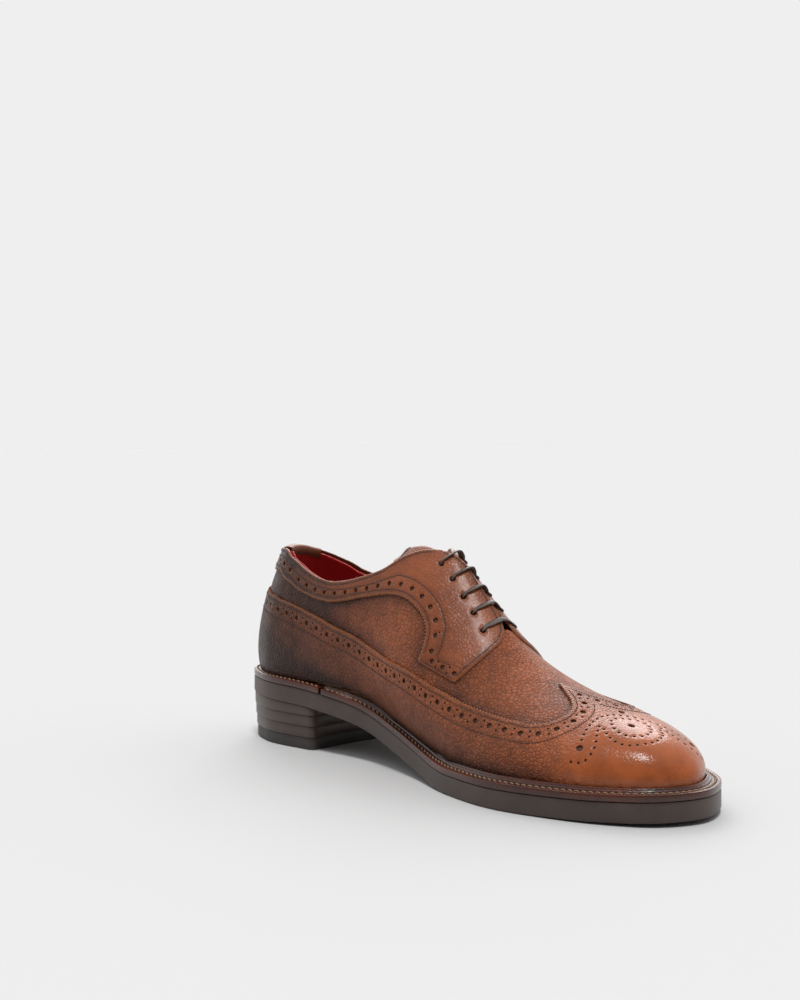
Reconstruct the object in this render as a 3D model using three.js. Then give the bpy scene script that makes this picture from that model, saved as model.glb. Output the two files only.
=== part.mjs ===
// Men's leather lace-up brogue shoe, left foot. Millimetres, +Z up, toe towards -Y, outer side +X.
import * as THREE from 'three';

const LENGTH = 304, WIDTH = 116;
const UPPER = 4.9;              // everything between the foot space and the outside of the upper
const SOLE = 9.4, WELT = 3.3, GAP = 0.3;
const FLOOR = SOLE + WELT + GAP; // outsole bottom to the edge where the upper starts

// ---------------------------------------------------------------- curves
function spline1(pts) {
  const n = pts.length, m = [];
  const s = pts.slice(1).map((p, i) => (p[1] - pts[i][1]) / (p[0] - pts[i][0]));
  for (let i = 0; i < n; i++) {
    if (i === 0) m.push(s[0]);
    else if (i === n - 1) m.push(s[n - 2]);
    else {
      const a = pts[i][0] - pts[i - 1][0], b = pts[i + 1][0] - pts[i][0];
      m.push((s[i - 1] * b + s[i] * a) / (a + b));
    }
  }
  return x => {
    x = Math.min(Math.max(x, pts[0][0]), pts[n - 1][0]);
    let i = 0;
    while (i < n - 2 && x > pts[i + 1][0]) i++;
    const h = pts[i + 1][0] - pts[i][0], t = (x - pts[i][0]) / h, t2 = t * t, t3 = t2 * t;
    return (2 * t3 - 3 * t2 + 1) * pts[i][1] + (t3 - 2 * t2 + t) * h * m[i] + (3 * t2 - 2 * t3) * pts[i + 1][1] + (t3 - t2) * h * m[i + 1];
  };
}
const dist = (a, b) => Math.hypot(a[0] - b[0], a[1] - b[1], (a[2] || 0) - (b[2] || 0));
function spline2(pts, n, closed) {
  const p = closed ? [...pts.slice(-2), ...pts, ...pts.slice(0, 3)] : pts;
  const u = [0];
  for (let i = 1; i < p.length; i++) u.push(u[i - 1] + Math.max(dist(p[i], p[i - 1]), 1e-9));
  const f = p[0].map((_, k) => spline1(p.map((q, i) => [u[i], q[k]])));
  const lo = closed ? u[2] : u[0], hi = closed ? u[u.length - 3] : u[u.length - 1], out = [];
  for (let i = 0; i < n; i++) {
    const q = lo + (hi - lo) * i / (closed ? n : n - 1);
    out.push(f.map(g => g(q)));
  }
  return out;
}

// outsole outline as (x, distance from the back of the heel): outer side to the toe, inner side back
const OUTLINE = [[0, 0], [21, 5], [36, 26], [40, 65], [44.5, 105], [54, 150], [62, 190], [62, 218], [52, 248], [37.5, 276], [19.5, 296],
  [-2, 304], [-23, 296], [-38.5, 275], [-48.5, 248], [-53.5, 222], [-49.5, 190], [-37, 152], [-30, 115], [-33.5, 70], [-34.5, 28], [-21, 5]];
function outline() {
  const o = spline2(OUTLINE, 1440, true);
  const xs = o.map(p => p[0]), ys = o.map(p => p[1]);
  const x0 = Math.min(...xs), x1 = Math.max(...xs), y0 = Math.min(...ys), y1 = Math.max(...ys);
  return o.map(([x, l]) => [(x - (x0 + x1) / 2) * WIDTH / (x1 - x0), (l - y0) * LENGTH / (y1 - y0)]);
}
const OUT = outline();
const margin = spline1([[0, 3.6], [60, 3.6], [110, 5], [170, 7], [304, 7.2]]);
const under = spline1([[0, 25], [30, 24.5], [65, 23], [100, 18.3], [135, 9], [165, 2.2], [186, 0], [214, 0], [240, .25], [270, .9], [304, 2.2]]);
const bottom = l => Math.max(0, under(l));
const floor = l => bottom(l) + FLOOR;

function inset(o, e) {
  const n = o.length;
  return o.map((p, i) => {
    const a = o[(i + n - 1) % n], b = o[(i + 1) % n], d = dist(a, b) || 1;
    const k = typeof e === 'function' ? e(p[1], i) : e;
    return [p[0] - (b[1] - a[1]) / d * k, p[1] + (b[0] - a[0]) / d * k];
  });
}
function area2(o) { let s = 0; for (let i = 0; i < o.length; i++) { const p = o[i], q = o[(i + 1) % o.length]; s += p[0] * q[1] - q[0] * p[1]; } return s; }
const INWARD = area2(OUT) > 0 ? 1 : -1;
const insetOut = e => inset(OUT, typeof e === 'function' ? (l, i) => INWARD * e(l, i) : INWARD * e);
function resample(o, n) {
  const c = [...o, o[0]], u = [0];
  for (let i = 1; i < c.length; i++) u.push(u[i - 1] + dist(c[i], c[i - 1]));
  const out = [];
  for (let i = 0, k = 0; i < n; i++) {
    const q = u[u.length - 1] * i / n;
    while (u[k + 1] < q) k++;
    const f = (q - u[k]) / (u[k + 1] - u[k]);
    out.push([c[k][0] + (c[k + 1][0] - c[k][0]) * f, c[k][1] + (c[k + 1][1] - c[k][1]) * f]);
  }
  return out;
}

// ---------------------------------------------------------------- the foot space (shape of the last)
const LH = 40, LA = 250, N = 480, NV = 48;
const ridgeX = spline1([[LH, -5], [120, -9.5], [190, -10], [LA, -8]]);
const ridgeZ = spline1([[LH, 128], [80, 131], [105, 128.5], [120, 122.5], [135, 115], [150, 105.5], [170, 86], [190, 66], [215, 49.2], [235, 42], [LA, 37.5]]);
const bulge = {
  1: spline1([[0, 7], [35, 10], [75, 14], [110, 13], [145, 4], [175, 2], [200, 5], [225, 6], [260, 4.5], [300, 2]]),
  [-1]: spline1([[0, 7], [35, 10], [75, 16], [110, 24], [150, 32], [190, 16], [225, 6.5], [260, 3], [300, 2]]),
};
const rise = {
  1: spline1([[0, .26], [35, .28], [75, .33], [110, .35], [145, .28], [175, .26], [200, .36], [225, .48], [260, .62], [300, .68]]),
  [-1]: spline1([[0, .26], [35, .28], [75, .34], [110, .40], [150, .44], [190, .46], [225, .52], [260, .62], [300, .68]]),
};
const crown = {
  1: spline1([[0, .38], [40, .40], [80, .40], [110, .24], [150, .03], [190, .12], [215, .32], [250, .56], [300, .56]]),
  [-1]: spline1([[0, .38], [40, .40], [80, .42], [110, .32], [150, .12], [190, .24], [215, .38], [250, .56], [300, .56]]),
};
function feather() {
  let f = resample(insetOut(l => margin(l) + UPPER), N);
  let k = 0;
  f.forEach((p, i) => { if (p[1] < f[k][1]) k = i; });
  f = [...f.slice(k), ...f.slice(0, k)];
  if (f[6][0] < f[0][0]) f = [f[0], ...f.slice(1).reverse()];
  return f;
}
const F = feather();
const slopeA = (ridgeZ(LA) - ridgeZ(LA - 4)) / 4;
const S = F.map(([x, l]) => {
  const cl = Math.min(Math.max(l, LH), LA), c = [ridgeX(cl), cl], r = Math.hypot(x - c[0], l - cl);
  const o = [(x - c[0]) / r, (l - cl) / r], side = x > c[0] ? 1 : -1;
  const z0 = floor(l), zr = ridgeZ(cl), b = bulge[side](l), k = crown[side](l);
  const down = l > LA ? -slopeA * o[1] : 0;
  return [[x, l, z0], [x + o[0] * b, l + o[1] * b, z0 + rise[side](l) * (zr - z0)],
    [c[0] + o[0] * k * r, c[1] + o[1] * k * r, zr - down * k * r], [c[0], c[1], zr]];
});
let IT = 0;
F.forEach((p, i) => { if (p[1] > F[IT][1]) IT = i; });
const mod = (a, n) => ((a % n) + n) % n;
function control(t) {
  t = mod(t, N);
  const i = Math.floor(t), f = t - i, a = S[i % N], b = S[(i + 1) % N];
  return a.map((p, k) => p.map((q, j) => q * (1 - f) + b[k][j] * f));
}
function bez(t, v, c = control(t)) {
  const w = 1 - v, b = [w * w * w, 3 * w * w * v, 3 * w * v * v, v * v * v];
  return [0, 1, 2].map(j => b[0] * c[0][j] + b[1] * c[1][j] + b[2] * c[2][j] + b[3] * c[3][j]);
}
const GIRTH = F.map((_, i) => {
  const c = control(i), p = [];
  for (let k = 0; k <= NV; k++) p.push(bez(0, k / NV, c));
  const g = new Array(NV + 1).fill(0);
  for (let k = NV - 1; k >= 0; k--) g[k] = g[k + 1] + dist(p[k], p[k + 1]);
  return { g, z: p.map(q => q[2]) };
});
function table(t, key) {
  t = mod(t, N);
  const i = Math.floor(t), f = t - i, a = GIRTH[i % N][key], b = GIRTH[(i + 1) % N][key];
  return a.map((q, k) => q * (1 - f) + b[k] * f);
}
function vOfGirth(t, g) {
  const a = table(t, 'g');
  for (let k = 0; k < NV; k++) if (g >= a[k + 1]) return Math.max(0, (k + (a[k] - g) / (a[k] - a[k + 1])) / NV);
  return 1;
}
function vOfHeight(t, z) {
  const a = table(t, 'z');
  for (let k = 0; k < NV; k++) if (a[k + 1] >= z) return Math.max(0, (k + (z - a[k]) / (a[k + 1] - a[k])) / NV);
  return 1;
}
function girthOfV(t, v) {
  const a = table(t, 'g'), q = v * NV, k = Math.min(Math.floor(q), NV - 1);
  return a[k] + (a[k + 1] - a[k]) * (q - k);
}
function tOfSide(side, l) {
  const idx = [];
  if (side > 0) for (let i = 0; i <= IT; i++) idx.push(i); else for (let i = N; i >= IT; i--) idx.push(i);
  for (let k = 0; k < idx.length - 1; k++) {
    const a = F[idx[k] % N][1], b = F[idx[k + 1] % N][1];
    if (l <= b) return idx[k] + (idx[k + 1] - idx[k]) * Math.min(Math.max((l - a) / (b - a || 1), 0), 1);
  }
  return IT;
}
const angle = (p, c, s) => Math.atan2(p[0] - c[0], s * (p[1] - c[1]));
const CH = [ridgeX(LH), LH], CT = [ridgeX(LA), LA];
function tOfAngle(a, toe) {
  const c = toe ? CT : CH, s = toe ? 1 : -1, list = [];
  for (let j = -N / 2; j < N / 2; j++) {
    const i = toe ? IT + j : j, p = F[mod(i, N)];
    if (toe ? p[1] > LA - 20 : p[1] < LH + 20) list.push([angle(p, c, s), i]);
  }
  list.sort((p, q) => p[0] - q[0]);
  for (let k = 0; k < list.length - 1; k++) if (a <= list[k + 1][0]) {
    const f = Math.max(0, (a - list[k][0]) / (list[k + 1][0] - list[k][0]));
    return list[k][1] + (list[k + 1][1] - list[k][1]) * f;
  }
  return list[list.length - 1][1];
}
// pattern plane: the ridge line of the foot space with the leather unrolled to both sides
function place(q) {
  const cl = Math.min(Math.max(q[1], LH), LA), c = [ridgeX(cl), cl];
  let t;
  if (q[1] > LA) t = tOfAngle(angle(q, CT, 1), true);
  else if (q[1] < LH) t = tOfAngle(angle(q, CH, -1), false);
  else t = tOfSide(q[0] >= c[0] ? 1 : -1, q[1]);
  return [t, vOfGirth(t, Math.hypot(q[0] - c[0], q[1] - c[1]))];
}
function plane(t, v) {
  const p = F[mod(Math.floor(t), N)], q = F[mod(Math.floor(t) + 1, N)], f = t - Math.floor(t);
  const x = p[0] + (q[0] - p[0]) * f, l = p[1] + (q[1] - p[1]) * f, cl = Math.min(Math.max(l, LH), LA), c = [ridgeX(cl), cl];
  const r = Math.hypot(x - c[0], l - cl), g = girthOfV(t, v);
  return [c[0] + (x - c[0]) / r * g, c[1] + (l - cl) / r * g];
}
const smooth01 = x => { const c = Math.min(Math.max(x, 0), 1); return c * c * (3 - 2 * c); };
function unit(v) { const k = Math.hypot(...v) || 1; return v.map(x => x / k); }
function normalAt(t, w) {
  const e = .8, a1 = bez(t + e, w), a0 = bez(t - e, w), b1 = bez(t, Math.min(w + .004, 1)), b0 = bez(t, Math.max(w - .004, 0));
  const a = a1.map((x, i) => x - a0[i]), b = b1.map((x, i) => x - b0[i]);
  const n = unit([a[1] * b[2] - a[2] * b[1], a[2] * b[0] - a[0] * b[2], a[0] * b[1] - a[1] * b[0]]);
  return n[2] < -.9 ? n.map(x => -x) : n;
}
// along the ridge the normals of the two sides are blended, so that layers stay even over it
const RIDGE_STEPS = 60, STEEPEST = .97;
const ridgeNormals = Array.from({ length: RIDGE_STEPS }, (_, i) => {
  const l = LH + (LA - LH) * i / (RIDGE_STEPS - 1), a = normalAt(tOfSide(1, l), STEEPEST), b = normalAt(tOfSide(-1, l), STEEPEST);
  return unit(a.map((x, k) => x + b[k]));
});
function ridgeNormal(l) {
  const u = (Math.min(Math.max(l, LH), LA) - LH) / (LA - LH) * (RIDGE_STEPS - 1), i = Math.min(Math.floor(u), RIDGE_STEPS - 2);
  return ridgeNormals[i].map((x, k) => x + (ridgeNormals[i + 1][k] - x) * (u - i));
}
// the outer side of the ridge lies a little lower, so that one facing tucks behind the other
const DIP = 1.5, dipAlong = spline1([[138, 0], [148, 1], [170, 1], [182, 0]]);
function dip(q) {
  const out = q[0] - ridgeX(Math.min(Math.max(q[1], LH), LA));
  return DIP * dipAlong(q[1]) * smooth01(out / 1.2) * (1 - smooth01((out - 1) / 12));
}
function skin(q, d) {
  const [t, v] = place(q), s = bez(t, v), k = smooth01((v - .9) / .1), r = ridgeNormal(q[1]);
  const n = unit(normalAt(t, Math.min(v, STEEPEST)).map((x, i) => x * (1 - k) + r[i] * k)), e = d - dip(q);
  const p = s.map((x, i) => x + n[i] * e);
  p[2] = Math.max(p[2], floor(p[1]) + .02);
  return p;
}
const out3 = p => [p[0], LENGTH / 2 - p[1], p[2]];
// pattern points: on the wall at a height, near the ridge at a girth, round the heel, round the toe
const wall = (side, l, z) => { const t = tOfSide(side, l); return plane(t, vOfHeight(t, z)); };
const top = (side, l, w) => [ridgeX(Math.min(Math.max(l, LH), LA)) + side * w, l];
const heel = (deg, z) => { const t = tOfAngle(deg * Math.PI / 180, false); return plane(t, vOfHeight(t, z)); };
const edge = (side, l) => { const t = tOfSide(side, l); return plane(t, 0); };
const edgeHeel = deg => plane(tOfAngle(deg * Math.PI / 180, false), 0);

// ---------------------------------------------------------------- meshes
const group = new THREE.Group();
group.name = 'leather_oxford_shoe';
const FINISH = { // colour, roughness, metalness by the start of a piece's name
  wing_cap: [0x8f4a20, .35, 0], facing: [0x8f4a20, .4, 0], quarter: [0x8f4a20, .45, 0], vamp: [0x8f4a20, .4, 0], tongue: [0x7a3d1a, .5, 0],
  tongue_lining: [0xc69a6b, .8, 0], lining: [0x6b1712, .7, 0], side_lining: [0xb98c5e, .8, 0], toe_puff: [0xcdb48c, .8, 0], heel_counter: [0xcdb48c, .8, 0],
  heel_tab: [0x6a3418, .5, 0], welt: [0x6b2f18, .3, 0], heel_rand: [0x6b2f18, .3, 0], insole: [0xc9a878, .8, 0], insole_rib: [0xc9a878, .8, 0],
  sock_liner: [0x6b1712, .7, 0], cork_filler: [0x9a7448, .95, 0], shank: [0x9aa0a6, .35, 1], outsole: [0x3b302b, .45, 0],
  heel_lift: [0x3b2a20, .45, 0], heel_top_piece: [0x2a2422, .6, 0], lace: [0x3d2b22, .6, 0], aglet: [0x2c1f19, .3, 0], eyelet: [0xb08d57, .4, 1],
};
function finish(name) {
  const key = Object.keys(FINISH).filter(k => name.startsWith(k)).sort((a, b) => b.length - a.length)[0];
  const [color, roughness, metalness] = FINISH[key];
  return new THREE.MeshStandardMaterial({ color, roughness, metalness });
}
function add(name, verts, faces) {
  const g = new THREE.BufferGeometry();
  g.setAttribute('position', new THREE.Float32BufferAttribute(verts.flat(), 3));
  g.setIndex(faces.flat());
  const m = new THREE.Mesh(g, finish(name));
  m.name = name;
  group.add(m);
  return m;
}
function volume(verts, faces) {
  let s = 0;
  for (const [a, b, c] of faces) {
    const p = verts[a], q = verts[b], r = verts[c];
    s += p[0] * (q[1] * r[2] - q[2] * r[1]) - p[1] * (q[0] * r[2] - q[2] * r[0]) + p[2] * (q[0] * r[1] - q[1] * r[0]);
  }
  return s / 6;
}
function solid(name, verts, faces) {
  if (volume(verts, faces) < 0) faces = faces.map(([a, b, c]) => [a, c, b]);
  return add(name, verts, faces);
}
function inside(p, poly) {
  let r = false;
  for (let i = 0, j = poly.length - 1; i < poly.length; j = i++) {
    const a = poly[i], b = poly[j];
    if ((a[1] > p[1]) !== (b[1] > p[1]) && p[0] < (b[0] - a[0]) * (p[1] - a[1]) / (b[1] - a[1]) + a[0]) r = !r;
  }
  return r;
}
function toEdge(p, poly) {
  let m = 1e9;
  for (let i = 0; i < poly.length; i++) {
    const a = poly[i], b = poly[(i + 1) % poly.length], dx = b[0] - a[0], dy = b[1] - a[1];
    const t = Math.min(Math.max(((p[0] - a[0]) * dx + (p[1] - a[1]) * dy) / (dx * dx + dy * dy || 1), 0), 1);
    m = Math.min(m, Math.hypot(p[0] - a[0] - dx * t, p[1] - a[1] - dy * t));
  }
  return m;
}
function delaunay(pts) {
  const n = pts.length, big = 1e4, P = [...pts, [-big, -big], [big, -big], [0, big]];
  let tris = [[n, n + 1, n + 2]];
  const circle = t => {
    const [a, b, c] = t.map(i => P[i]);
    const d = 2 * (a[0] * (b[1] - c[1]) + b[0] * (c[1] - a[1]) + c[0] * (a[1] - b[1]));
    const A = a[0] ** 2 + a[1] ** 2, B = b[0] ** 2 + b[1] ** 2, C = c[0] ** 2 + c[1] ** 2;
    const x = (A * (b[1] - c[1]) + B * (c[1] - a[1]) + C * (a[1] - b[1])) / d, y = (A * (c[0] - b[0]) + B * (a[0] - c[0]) + C * (b[0] - a[0])) / d;
    return [x, y, (a[0] - x) ** 2 + (a[1] - y) ** 2];
  };
  let cs = [circle(tris[0])];
  const order = pts.map((_, i) => i).sort((a, b) => P[a][0] - P[b][0] || P[a][1] - P[b][1]);
  for (const i of order) {
    const p = P[i], edges = new Map(), keep = [], kc = [];
    tris.forEach((t, k) => {
      const c = cs[k];
      if ((p[0] - c[0]) ** 2 + (p[1] - c[1]) ** 2 < c[2] * (1 - 1e-12)) {
        for (const [a, b] of [[t[0], t[1]], [t[1], t[2]], [t[2], t[0]]]) {
          const key = Math.min(a, b) + '_' + Math.max(a, b);
          edges.has(key) ? edges.set(key, null) : edges.set(key, [a, b]);
        }
      } else { keep.push(t); kc.push(c); }
    });
    for (const e of edges.values()) if (e) { const t = [e[0], e[1], i]; keep.push(t); kc.push(circle(t)); }
    tris = keep; cs = kc;
  }
  return tris.filter(t => t.every(i => i < n));
}
function even(loop, step) {
  // even points along a closed loop, corners kept: corners are marked by a third value
  const out = [];
  const n = loop.length;
  let start = loop.findIndex(p => p[2]);
  if (start < 0) start = 0;
  const l = [...loop.slice(start), ...loop.slice(0, start), loop[start]];
  let a = 0;
  for (let b = 1; b < l.length; b++) if (l[b][2] || b === l.length - 1) {
    const seg = l.slice(a, b + 1), u = [0];
    for (let i = 1; i < seg.length; i++) u.push(u[i - 1] + Math.hypot(seg[i][0] - seg[i - 1][0], seg[i][1] - seg[i - 1][1]));
    const m = l[a][2] === 2 && l[b][2] === 2 ? 1 : Math.max(1, Math.round(u[u.length - 1] / step));
    for (let i = 0, k = 0; i < m; i++) {
      const q = u[u.length - 1] * i / m;
      while (u[k + 1] < q) k++;
      const f = (q - u[k]) / (u[k + 1] - u[k] || 1);
      out.push([seg[k][0] + (seg[k + 1][0] - seg[k][0]) * f, seg[k][1] + (seg[k + 1][1] - seg[k][1]) * f]);
    }
    a = b;
  }
  return out;
}
const STEP = 11, ROWS = 72;
let shared = null;
function rowsNearEdge() { // points a little above the lower edge, the same for every layer
  if (!shared) { shared = []; for (let k = 0; k < ROWS; k++) { const t = k * N / ROWS; shared.push(plane(t, vOfHeight(t, floor(F[Math.round(t) % N][1]) + 4.5))); } }
  return shared;
}
// a leather piece: closed loop on the pattern plane, thickness between two distances from the foot space
function leather(name, loop, d0, d1, holes = [], step = 8.5, sag = () => 0) {
  const b = even(loop, step), pts = b.map(p => [...p]);
  const rings = holes.map(h => { const r = []; for (let i = 0; i < h.n; i++) { const a = 2 * Math.PI * (i + .5) / h.n; r.push([h.x + h.r * Math.cos(a), h.l + h.r * Math.sin(a) / (h.stretch || 1)]); } return r; });
  rings.forEach(r => pts.push(...r));
  const xs = b.map(p => p[0]), ys = b.map(p => p[1]);
  const low = rowsNearEdge().filter(p => inside(p, b) && toEdge(p, b) > 2);
  pts.push(...low);
  for (let j = Math.floor(Math.min(...ys) / (STEP * .866)); j * STEP * .866 < Math.max(...ys); j++)
    for (let i = Math.floor(Math.min(...xs) / STEP) - 1; i * STEP < Math.max(...xs) + STEP; i++) {
      const p = [i * STEP + (j % 2 ? STEP / 2 : 0), j * STEP * .866];
      if (inside(p, b) && toEdge(p, b) > STEP * .42 && low.every(q => Math.hypot(p[0] - q[0], p[1] - q[1]) > STEP * .5) && rings.every(r => !inside(p, r) && toEdge(p, r) > 3)) pts.push(p);
    }
  const jig = pts.map((p, i) => [p[0] + 1e-5 * Math.sin(i * 12.9), p[1] + 1e-5 * Math.cos(i * 7.7)]);
  let tris = delaunay(jig).filter(t => {
    const c = [0, 1].map(k => (pts[t[0]][k] + pts[t[1]][k] + pts[t[2]][k]) / 3);
    return inside(c, b) && rings.every(r => !inside(c, r));
  });
  tris = tris.map(t => {
    const [p, q, r] = t.map(i => pts[i]);
    return (q[0] - p[0]) * (r[1] - p[1]) - (q[1] - p[1]) * (r[0] - p[0]) > 0 ? t : [t[0], t[2], t[1]];
  });
  const n = pts.length, f0 = typeof d0 === 'function' ? d0 : () => d0, f1 = typeof d1 === 'function' ? d1 : () => d1;
  const lay = (p, d) => { const s = skin(p, d); s[2] -= sag(p); return out3(s); };
  const verts = [...pts.map(p => lay(p, f1(p))), ...pts.map(p => lay(p, f0(p)))];
  const faces = [...tris, ...tris.map(([a, c, e]) => [a + n, e + n, c + n])], edges = new Map();
  for (const t of tris) for (let k = 0; k < 3; k++) {
    const a = t[k], c = t[(k + 1) % 3];
    edges.has(c + '_' + a) ? edges.delete(c + '_' + a) : edges.set(a + '_' + c, [a, c]);
  }
  for (const [a, c] of edges.values()) faces.push([a, a + n, c + n], [a, c + n, c]);
  return solid(name, verts, faces);
}
const corner = p => [p[0], p[1], 1];
const curve = (pts, n = 40) => { const c = spline2(pts, n, false); c[0] = corner(c[0]); c[c.length - 1] = corner(c[c.length - 1]); return c; };
const join = (...parts) => { const r = []; for (const p of parts) for (const q of p) { const z = r[r.length - 1]; if (z && Math.hypot(z[0] - q[0], z[1] - q[1]) < .05) { z[2] = z[2] || q[2]; continue; } r.push([...q]); } if (Math.hypot(r[0][0] - r[r.length - 1][0], r[0][1] - r[r.length - 1][1]) < .05) r.pop(); return r; };

// solid between two heights over a plan outline given by a side position for every station
function slab(name, x0, x1, stations, lo, hi, taper = () => 0) {
  const verts = [], faces = [], rows = [];
  stations.forEach((l, i) => {
    const a = x0(l), b = x1(l), row = [];
    for (const [x, z, s] of [[a, hi(l), 0], [b, hi(l), 0], [b, lo(l), -1], [a, lo(l), 1]]) {
      row.push(verts.length);
      verts.push([x + s * taper(l), LENGTH / 2 - l, z]);
    }
    rows.push(row);
    if (i) for (let k = 0; k < 4; k++) {
      const p = rows[i - 1], q = rows[i], m = (k + 1) % 4;
      faces.push([p[k], q[k], q[m]], [p[k], q[m], p[m]]);
    }
  });
  const c = rows[0], e = rows[rows.length - 1];
  faces.push([c[0], c[1], c[2]], [c[0], c[2], c[3]], [e[2], e[1], e[0]], [e[3], e[2], e[0]]);
  return solid(name, verts, faces);
}
function sideX(o, side) {
  let a = 0, b = 0;
  o.forEach((p, i) => { if (p[1] < o[a][1]) a = i; if (p[1] > o[b][1]) b = i; });
  const n = o.length, walk = s => { const r = [o[a]]; for (let i = mod(a + s, n); i !== b; i = mod(i + s, n)) r.push(o[i]); r.push(o[b]); return r; };
  const p = walk(1), q = walk(-1), mean = w => w.reduce((s, v) => s + v[0], 0) / w.length;
  const w = (side > 0) === (mean(p) > mean(q)) ? p : q;
  return l => {
    for (let i = 1; i < w.length; i++) if (l <= w[i][1]) {
      const f = (l - w[i - 1][1]) / (w[i][1] - w[i - 1][1] || 1);
      return w[i - 1][0] + (w[i][0] - w[i - 1][0]) * Math.min(Math.max(f, 0), 1);
    }
    return w[w.length - 1][0];
  };
}
function stations(l0, l1, step, round0, round1) {
  const s = [l0];
  if (round0) for (const d of [.35, 1, 2.2, 4.2, 7, 11]) s.push(l0 + d);
  const a = s[s.length - 1], tail = round1 ? [11, 7, 4.2, 2.2, 1, .35].map(d => l1 - d) : [];
  const b = tail.length ? tail[0] : l1, n = Math.max(1, Math.round((b - a) / step));
  for (let i = 1; i < n; i++) s.push(a + (b - a) * i / n);
  s.push(...tail, l1);
  return s;
}
function sheet(name, e, l0, l1, lo, hi, taper, step = 11) {
  const o = insetOut(e), ls = o.map(p => p[1]), m0 = Math.min(...ls), m1 = Math.max(...ls);
  const a = l0 === null ? m0 + .12 : l0, b = l1 === null ? m1 - .12 : l1;
  return slab(name, sideX(o, -1), sideX(o, 1), stations(a, b, step, l0 === null, l1 === null), lo, hi, taper);
}
// strip that follows the outsole edge; section points are [inset, height], path by outline index
function strip(name, section, from, to, count) {
  const verts = [], faces = [], rows = [], n = OUT.length;
  for (let i = 0; i < count; i++) {
    const u = mod(from + (to - from) * i / (count - 1), n), k = Math.floor(u), f = u - k;
    const p = OUT[k % n], q = OUT[(k + 1) % n], a = OUT[mod(k - 4, n)], b = OUT[mod(k + 5, n)], d = dist(a, b);
    const x = p[0] + (q[0] - p[0]) * f, l = p[1] + (q[1] - p[1]) * f, nx = -(b[1] - a[1]) / d * INWARD, nl = (b[0] - a[0]) / d * INWARD;
    const row = [];
    for (const [e, z] of section(l, x)) { row.push(verts.length); verts.push([x + nx * e, LENGTH / 2 - l - nl * e, bottom(l + nl * e) + z]); }
    rows.push(row);
    const m = row.length;
    if (i) for (let j = 0; j < m; j++) {
      const r = rows[i - 1], s = rows[i], h = (j + 1) % m;
      faces.push([r[j], s[j], s[h]], [r[j], s[h], r[h]]);
    }
  }
  for (const [row, flip] of [[rows[0], false], [rows[rows.length - 1], true]]) {
    const pts = row.map(i => verts[i]), m = pts.length;
    // cap: ear clipping in the section plane
    const c = [pts.reduce((s, p) => s + p[0], 0) / m, pts.reduce((s, p) => s + p[1], 0) / m];
    const ux = pts[0][0] - pts[m - 1][0] || 1e-9, uy = pts[0][1] - pts[m - 1][1], ul = Math.hypot(ux, uy);
    const flat = pts.map(p => [((p[0] - c[0]) * ux + (p[1] - c[1]) * uy) / ul, p[2]]);
    let idx = row.map((_, i) => i), sgn = Math.sign(area2(flat));
    while (idx.length > 3) {
      let done = false;
      for (let i = 0; i < idx.length; i++) {
        const a = idx[mod(i - 1, idx.length)], b = idx[i], d = idx[(i + 1) % idx.length];
        const A = flat[a], B = flat[b], D = flat[d];
        if (((B[0] - A[0]) * (D[1] - A[1]) - (B[1] - A[1]) * (D[0] - A[0])) * sgn <= 1e-9) continue;
        if (idx.some(k => k !== a && k !== b && k !== d && inside(flat[k], [A, B, D]))) continue;
        faces.push(flip ? [row[d], row[b], row[a]] : [row[a], row[b], row[d]]);
        idx = idx.filter(k => k !== b);
        done = true;
        break;
      }
      if (!done) break;
    }
    faces.push(flip ? [row[idx[2]], row[idx[1]], row[idx[0]]] : [row[idx[0]], row[idx[1]], row[idx[2]]]);
  }
  return solid(name, verts, faces);
}
function outIndex(side, l) {
  let best = 0, m = 1e9;
  OUT.forEach((p, i) => { if ((p[0] > ridgeX(Math.min(Math.max(p[1], LH), LA)) ? 1 : -1) === side) { const d = Math.abs(p[1] - l); if (d < m) { m = d; best = i; } } });
  return best;
}
function tube(name, path, r, sides = 8) {
  const n = path.length, verts = [], faces = [];
  let u = new THREE.Vector3(0, 0, 1);
  const P = path.map(p => new THREE.Vector3(...p));
  for (let i = 0; i < n; i++) {
    const t = P[Math.min(i + 1, n - 1)].clone().sub(P[Math.max(i - 1, 0)]).normalize();
    u.sub(t.clone().multiplyScalar(u.dot(t)));
    if (u.length() < 1e-3) u.set(1, 0, 0).sub(t.clone().multiplyScalar(t.x));
    u.normalize();
    const w = t.clone().cross(u);
    for (let k = 0; k < sides; k++) {
      const a = 2 * Math.PI * k / sides, q = P[i].clone().addScaledVector(u, Math.cos(a) * r).addScaledVector(w, Math.sin(a) * r);
      verts.push([q.x, q.y, q.z]);
    }
    if (i) for (let k = 0; k < sides; k++) {
      const a = (i - 1) * sides + k, b = (i - 1) * sides + (k + 1) % sides;
      faces.push([a, a + sides, b + sides], [a, b + sides, b]);
    }
  }
  const c = verts.length;
  verts.push(path[0], path[n - 1]);
  for (let k = 0; k < sides; k++) { const m = (k + 1) % sides, o = (n - 1) * sides; faces.push([c, k, m], [c + 1, o + m, o + k]); }
  return solid(name, verts, faces);
}

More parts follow.
